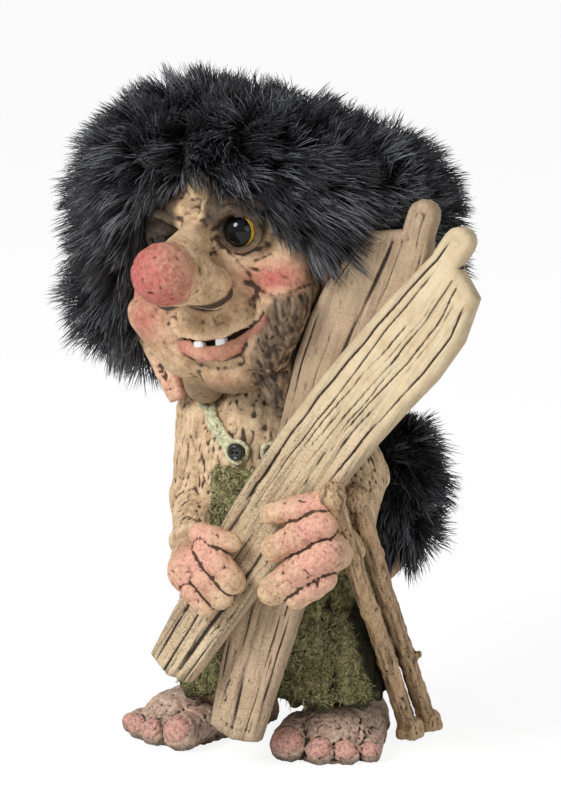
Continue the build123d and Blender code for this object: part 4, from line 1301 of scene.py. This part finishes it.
def make_baskets():
    def lump_form(p, foot, top):
        r = 5.4 - 0.18 * p[2] + 0.35 * np.sin(5 * np.arctan2(p[1] - foot[1], p[0] - foot[0]))
        out = np.sqrt((p[0] - foot[0]) ** 2 + (p[1] - foot[1]) ** 2) - r
        lump = slab(out, p[2] - 3.8, 3.6, 1.6)
        way = np.array(top) - np.array(foot)
        far = np.array(foot) + way * 0.2
        return carve(lump, limb(p, foot, far, 3.0, 3.0), 0.2)

    def form(p):
        return joined(lump_form(p, *ends) for ends in POLES.values())

    place = ("pole_end_lumps", BODY, (38, 10, -1), (56, 37.5, 10), 0.4)
    sculpt(*place, form, POLE, "poles", ("pole_baskets",), cloth_relief(101, 2.2, 0.4), fine=0.1)


TAIL = ((8.0, 26.0, 46.0), (20.0, 37.0, 47.0), (31.0, 41.0, 58.0), (33.0, 38.5, 82.0))


def tail_form(p):
    return run(p, TAIL, (6.0, 5.0, 4.2, 3.4))


def make_tail():
    def form(p):
        return np.maximum(tail_form(p), 0.3 - pelvis_form(p))

    place = ("tail_cast", BODY, (0, 18, 36), (42, 50, 90), 0.5)
    sculpt(*place, form, SKIN, "skin", ("tail",), skin_relief(105, 0.3), fine=0.12)


# Fur: a root mass in painted shade, and strands in locks over it
def hair_form(p):
    d = soft(
        limb(p, (-21, 6, 61), (30, 15, 50), 44.2, 36.5),
        limb(p, (-24, -21, 78), (34, -14, 62), 21.0, 20.0),
        4.0,
    )
    d = soft(d, limb(p, (-49.6, 2.0, 34.0), (-48.0, 6.0, 41.2), 22.0, 22.4), 4.0)
    return soft(d, limb(p, *SKULL, 43.2, 43.2), 3.0)


HAIRLINE = [
    *((-42, 36), (-33, 45), (-25.8, 57.4), (-18.7, 64.7), (-7.3, 71.5), (-0.3, 73.2)),
    *((6.8, 69.4), (10.2, 65.6), (15.7, 65.9), (20.4, 61.3), (27.3, 53.8), (33.6, 45.4)),
    *((38.9, 41.2), (41, 28), (38, -2), (2, -14), (-38, -4), (-44, 20)),
]


def face_window(p, front=9.0):
    """The space in front of the face that the fur leaves clear, inside the hairline."""
    return np.maximum(outline(p[0], p[2], HAIRLINE), p[1] + front)


BEFORE = 60.0


def fur_root(p):
    """The mass under the strands, clear of the face and of all that is before the skis."""
    d = hair_form(p) + 6.0
    d = carve(d, face_window(p) - 4.0, 1.5)
    for ski in SKIS:
        d = carve(d, ski.room(p, HEAD, 0.6, BEFORE), 0.5)
    return np.maximum(d, -30.0 - p[2])


# One strand has rings of three corners and a tip; a piece holds at most PIECE_STRANDS strands
RING_SHARES = (-0.08, 0.3, 0.62, 0.86)
RING_TAPERS = (1.0, 1.0, 0.85, 0.55)
RING_TURNS = (0.0, 2.0944, 4.18879)
CORNER_TIP = np.array([0.0] * 3 + [0.35] * 3 + [0.68] * 3 + [0.88] * 3 + [1.0])
CORNER_ACROSS = np.append(np.tile((0.0, 0.5, 1.0), 4), 0.5)
CORNERS = len(CORNER_TIP)
PIECE_STRANDS = 8800
LOCK_STRANDS = 38
BATCH = 2000
FIRST_SHARE = 0.12


def strand_faces():
    """The triangles of one closed strand."""
    faces = [(0, 2, 1)]
    for k in range(0, 9, 3):
        for i in range(3):
            j = (i + 1) % 3
            faces += [(k + i, k + j, k + 3 + j), (k + i, k + 3 + j, k + 3 + i)]
    return np.array(faces + [(9 + i, 9 + (i + 1) % 3, 12) for i in range(3)])


def lay_strands(name, place, local, tone, finish, slot_name):
    """Strands laid in a few pieces, each strand with its own cell of the picture map."""
    pattern = strand_faces()
    for part, start in enumerate(range(0, len(local), PIECE_STRANDS)):
        block = local[start : start + PIECE_STRANDS]
        n = len(block)
        faces = (pattern[None] + (np.arange(n) * CORNERS)[:, None, None]).reshape(-1, 3)
        shade = np.repeat(tone[start : start + PIECE_STRANDS], CORNERS)
        marks = {"tip": np.tile(CORNER_TIP, n), "lock": shade}
        piece = lay(f"{name}_{part + 1}", place, block.reshape(-1, 3), faces, finish, slot_name, (), marks)
        cells = math.ceil(math.sqrt(n))
        strand = np.repeat(np.arange(n), pattern.size)
        corner = np.tile(pattern.ravel(), n)
        u = (strand % cells + 0.15 + 0.7 * CORNER_ACROSS[corner]) / cells
        v = (strand // cells + 0.15 + 0.7 * CORNER_TIP[corner]) / cells
        layer = piece.data.uv_layers.new(name="OFBake")
        layer.data.foreach_set("uv", np.stack((u, v), 1).astype(np.float32).ravel())


def make_strands(
    name, place, mass, count, combing, clear, seed, length, finish, slot_name, thick=(0.15, 0.23), mess=0.42
):
    """Fine closed strands rooted all over a mass, in locks, each cut off where its way is blocked."""
    verts, quads = mass
    rng = np.random.default_rng(seed)
    a, b, c, e = (verts[quads[:, i]] for i in range(4))
    area = np.linalg.norm(np.cross(c - a, e - b), axis=1)
    normal = facings(verts, quads)
    pick = rng.choice(len(quads), count, p=area / area.sum())
    s, t = rng.random((2, count, 1))
    root = (a[pick] * (1 - s) + b[pick] * s) * (1 - t) + (e[pick] * (1 - s) + c[pick] * s) * t
    out = normal[quads[pick, 0]]
    lock_at = root[rng.choice(count, max(count // LOCK_STRANDS, 8), replace=False)]
    nearest = np.zeros(count, int)
    for i in range(0, count, BATCH):
        some = slice(i, i + BATCH)
        nearest[some] = ((root[some, None] - lock_at[None]) ** 2).sum(2).argmin(1)
    lock_lean = rng.normal(size=(len(lock_at), 3))
    lock_long = rng.uniform(0.74, 1.28, len(lock_at))
    way, sag = combing(root, out)
    way = units(way + mess * lock_lean[nearest] + mess * 0.38 * rng.normal(size=(count, 3)))
    pull = (lock_at[nearest] - root) * 0.3
    long = (length(root) * lock_long[nearest] * rng.uniform(0.8, 1.15, count))[:, None]
    slack = rng.uniform(0.0, 3.5, count)

    def spot_at(share):
        far = np.maximum(share, 0.0)
        return root + way * long * share + pull * far**1.6 + sag * long * far**2

    free = np.ones(count)
    blocked = np.zeros(count, bool)
    for share in np.linspace(FIRST_SHARE, 1.0, 8):
        stop = ~clear(spot_at(share), slack) & ~blocked
        free[stop] = share - FIRST_SHARE
        blocked |= stop
    shares = np.array((*RING_SHARES, 1.0))
    spine = np.stack([spot_at((free * k)[:, None]) for k in shares], 1)
    spine += (rng.normal(size=(count, 5, 3)) * 0.25) * shares[None, :, None] * free[:, None, None]
    tone = rng.random(len(lock_at))[nearest] * 0.5 + rng.random(count) * 0.5
    keep = free > 0.3
    spine, tone = spine[keep], tone[keep]
    count = len(spine)
    along = spine[:, -1] - spine[:, 0]
    side = units(np.cross(along, rng.normal(size=(count, 3))), 1e-9)
    other = np.cross(units(along), side)
    wide = rng.uniform(*thick, count)
    rings = []
    for k, taper in enumerate(RING_TAPERS):
        half = (wide * taper)[:, None]
        for angle in RING_TURNS:
            rings.append(spine[:, k] + (side * math.cos(angle) + other * math.sin(angle)) * half)
    lay_strands(name, place, np.stack(rings + [spine[:, 4]], 1), tone, finish, slot_name)


def even(long):
    """The same length for each strand."""
    return lambda root: np.full(len(root), long)


def make_flock(name, mass, count, seed, long):
    """Short green fibres lying over the mossy cloth."""
    rng = np.random.default_rng(seed)

    def combing(root, out):
        lie = units(np.cross(out, rng.normal(size=root.shape)), 1e-9)
        return lie * 0.9 + out * 0.32 + np.array((0.0, 0.0, -0.25)), np.array((0.0, 0.0, -0.12))

    def clear(spots, slack):
        p = by_axis(spots)
        free = np.ones(len(spots), bool)
        for ski in SKIS:
            free &= ski.room(p, BODY, 0.2) > 0.0
        for foot, top in POLES.values():
            free &= limb(p, foot, top, 3.2, 3.2) > 0.0
        return free

    count = count
    growth = (combing, clear, seed, even(long))
    make_strands(name, BODY, mass, count, *growth, FLOCK, "dungarees", (0.12, 0.2), 0.3)


def lay_roots(name, place, mass, node):
    """The mass that strands are rooted in, in the root colour: painted shade."""
    none = np.zeros(len(mass[0]))
    lay(name, place, *mass, FUR, "fur", (node,), {"tip": none, "lock": none})


def make_hair():
    def relief(p):
        return lumps(p, 5.0, 111, 2) * 0.8

    mass = surface((-76, -46, -30), (73, 57, 108), 1.1 * COARSE, fur_root, relief, 1.5)
    lay_roots("hair_roots", HEAD, mass, "hair")

    def brow_at(root):
        return step(-4.0, -20.0, root[:, 1]) * step(96.0, 70.0, root[:, 2])

    def combing(root, out):
        middle = units(root - np.array((0.0, 8.0, 52.0)))
        brow = brow_at(root)[:, None]
        near = step(-12.0, 6.0, root[:, 0])[:, None]
        low = step(55.0, 10.0, root[:, 2])[:, None]
        comb = near * np.array((0.95, -0.1, -0.5)) + (1 - near) * np.array((-0.6, -0.2, -0.6))
        way = out * 0.75 + middle * 0.45 + brow * comb * 0.95 + low * np.array((0.0, 0.0, -0.45))
        fringe = near * np.array((0.2, 0.12, -0.2)) + np.array((0.0, 0.05, -0.05))
        return way, np.array((0.0, 0.0, -0.16)) + brow * fringe

    def clear(spots, slack):
        p = by_axis(spots)
        free = head_form(p) > 0.15
        for ski in SKIS:
            free &= ski.room(p, HEAD, 0.35) > 0.0
        return free & (face_window(p, 12.0) > -slack)

    def length(root):
        return 14.4 - 1.2 * brow_at(root) - 2.0 * step(40.0, 56.0, root[:, 0])

    count = 52000
    make_strands("hair_locks", HEAD, mass, count, combing, clear, 7, length, FUR, "fur")


def make_cap():
    """The wig's woven cap, kept back from the hairline."""

    def form(p):
        d = np.maximum(limb(p, *SKULL, 36.3, 36.3), 0.25 - head_form(p))
        d = carve(d, face_window(p) - 6.0, 0.5)
        for ski in SKIS:
            d = carve(d, ski.room(p, HEAD, 0.6, BEFORE), 0.3)
        return np.maximum(d, 18.5 - p[2])

    mass = surface((-38, -39, 17), (38, 37, 96), 0.8 * COARSE, form)
    lay("woven_cap", HEAD, *mass, CAP, "fur", ("wig_cap",))


def make_tuft():
    def core(p):
        return limb(p, (33, 38.5, 75), (33, 38.5, 99), 9.5, 9.5)

    def relief(p):
        return lumps(p, 4.0, 121, 2) * 0.7

    mass = surface((20, 25, 62), (46, 52, 112), 1.0, core, relief, 1.2)
    lay_roots("tail_tuft_roots", BODY, mass, "tail_tuft")

    def combing(root, out):
        rise = ((root[:, 2] - 87.0) / 24.0)[:, None]
        way = out * 0.8 + np.array((0.0, 0.0, 0.5)) * rise + np.array((0.1, 0.0, -0.15))
        return way, np.array((0.0, 0.0, -0.2))

    def clear(spots, slack):
        p = by_axis(spots)
        free = tail_form(p) > 0.1
        for foot, top in POLES.values():
            free &= limb(p, foot, top, 3.4, 3.4) > 0.0
        return free & (pelvis_form(p) > 0.5) & (trunk_form(p) > 0.5)

    count = 7500
    make_strands("tail_tuft_locks", BODY, mass, count, combing, clear, 9, even(11.5), FUR, "fur")


# Everything in place
FRONT_LINES = (
    (-0.74, 66, 181, 1.0, 0.42),
    (-0.50, 62, 168, 0.8, 0.3),
    (-0.30, 58, 150, 0.7, 0.26),
    (-0.16, 90, 170, 0.65, 0.26),
    (0.02, 60, 172, 0.8, 0.3),
    (0.18, 66, 140, 0.65, 0.26),
    (0.30, 96, 172, 0.7, 0.28),
    (0.48, 62, 165, 0.75, 0.3),
    (0.72, 58, 166, 1.0, 0.45),
    (-0.55, -4, 52, 0.8, 0.4),
    (-0.15, -4, 60, 0.9, 0.5),
    (0.22, -4, 50, 0.6, 0.3),
    (0.42, -4, 64, 1.1, 0.75),
    (0.80, -4, 56, 0.7, 0.35),
)
BACK_LINES = (
    (-0.80, 5, 185, 0.7, 0.35),
    (-0.42, 30, 150, 0.6, 0.3),
    (-0.02, 50, 182, 1.1, 0.75),
    (-0.10, -4, 60, 1.1, 0.7),
    (0.24, 60, 186, 0.55, 0.3),
    (0.45, 0, 150, 0.7, 0.35),
    (0.80, 8, 188, 0.7, 0.35),
)


def front_wear(along):
    return step(130.0, 66.0, along)


def front_dish(along):
    return 0.9 * step(96.0, 76.0, along) * step(20.0, 60.0, along)


def back_wear(along):
    return 0.35 + 0.45 * step(90.0, 30.0, along)


make_ski("front_ski", FRONT_SKI, 201, FRONT_LINES, front_wear, SKI, front_dish)
make_ski("back_ski", BACK_SKI, 231, BACK_LINES, back_wear, BROWNED_SHADED_SKI, lambda along: 0.2)
make_trunk()
make_flock("leg_moss", make_trousers(), 8700, 41, 3.6)
make_flock("bib_moss", make_bib(), 1800, 43, 2.8)
make_buttons()
for side, word in ((-1, "right"), (1, "left")):
    make_sleeve(side, word + "_sleeve")
    make_hand(side, word + "_hand")
    make_ear(side, word + "_ear")
    make_brace(side, word + "_brace")
make_foot(-1, "right_foot", 22.0)
make_foot(1, "left_foot", 7.0)
make_head()
make_teeth()
make_pole("inner_pole", 301, False)
make_pole("outer_pole", 331, True)
make_baskets()
make_tail()
make_hair()
make_cap()
make_tuft()

INNER = {
    "right_eye": EYES_OF["right"],
    "left_eye": EYES_OF["left"],
    "ballast": FILL,
    "neck_peg": DOWEL,
    "shoulder_pegs": DOWEL,
    "leg_pegs": DOWEL,
}
for node, finish in INNER.items():
    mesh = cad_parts[node].data
    mesh.materials.clear()
    mesh.materials.append(finish)


# Floor, backdrop, light and camera
def floor_finish():
    f = Finish("studio_floor", 0.9, shine=0.1)
    tree = f.material.node_tree
    speck = f.noise(30.0, 2.0)
    base = f.mix(speck, (0.93, 0.93, 0.93), (0.95, 0.95, 0.95))
    f.paint(base)
    glow = f.at.node("ShaderNodeEmission", {"Color": colour(1, 1, 1), "Strength": 1.12})
    path = f.at.node("ShaderNodeLightPath", give=0)
    plain = Socket(tree, f.shader.outputs[0])
    mixed = f.at.node("ShaderNodeMixShader", {0: path * 0.78, 1: plain, 2: glow})
    end = next(n for n in tree.nodes if n.type == "OUTPUT_MATERIAL")
    tree.links.new(mixed.out, end.inputs["Surface"])
    return f.material


def make_studio():
    scene = bpy.context.scene
    bpy.ops.mesh.primitive_plane_add(size=12.0, location=(0, 0, 0))
    floor = bpy.context.object
    floor.name = "studio_floor"
    floor.data.materials.append(floor_finish())

    world = bpy.data.worlds.new("studio")
    scene.world = world
    world.use_nodes = True
    tree = world.node_tree
    path = tree.nodes.new("ShaderNodeLightPath")
    seen = Socket(tree, path.outputs["Is Camera Ray"])
    back = tree.nodes["Background"]
    back.inputs["Color"].default_value = colour(1, 1, 1)
    tree.links.new((seen * 0.62 + 0.38).out, back.inputs["Strength"])

    def lamp(name, spot, aim, size, power):
        data = bpy.data.lights.new(name, "AREA")
        data.shape = "DISK"
        data.size = size
        data.energy = power
        lamp_ = bpy.data.objects.new(name, data)
        scene.collection.objects.link(lamp_)
        way = np.array(aim, float) - np.array(spot, float)
        lamp_.location = spot
        lamp_.rotation_euler = Vector(way).to_track_quat("-Z", "Y").to_euler()

    lamp("key_light", (-0.62, -1.0, 1.0), (0, 0, 0.12), 0.62, 16.0)
    lamp("fill_light", (1.0, -0.7, 0.5), (0, 0, 0.12), 0.8, 2.8)

    aim = np.array((-2.18, 10.53, 123.06)) * MM
    spot = np.array((434.2, -1188.6, 371.1)) * MM
    behind = unit(spot - aim)
    right = unit(np.cross((0, 0, 1), behind))
    above = np.cross(behind, right)
    data = bpy.data.cameras.new("camera")
    data.sensor_fit = "VERTICAL"
    data.sensor_height = 36.0
    data.lens = 167.1
    data.clip_start, data.clip_end = 0.05, 50.0
    camera = bpy.data.objects.new("camera", data)
    scene.collection.objects.link(camera)
    camera.matrix_world = Matrix(np.array((right, above, behind)).T.tolist()).to_4x4()
    camera.location = spot
    scene.camera = camera
    scene.view_settings.view_transform = "Standard"


make_studio()
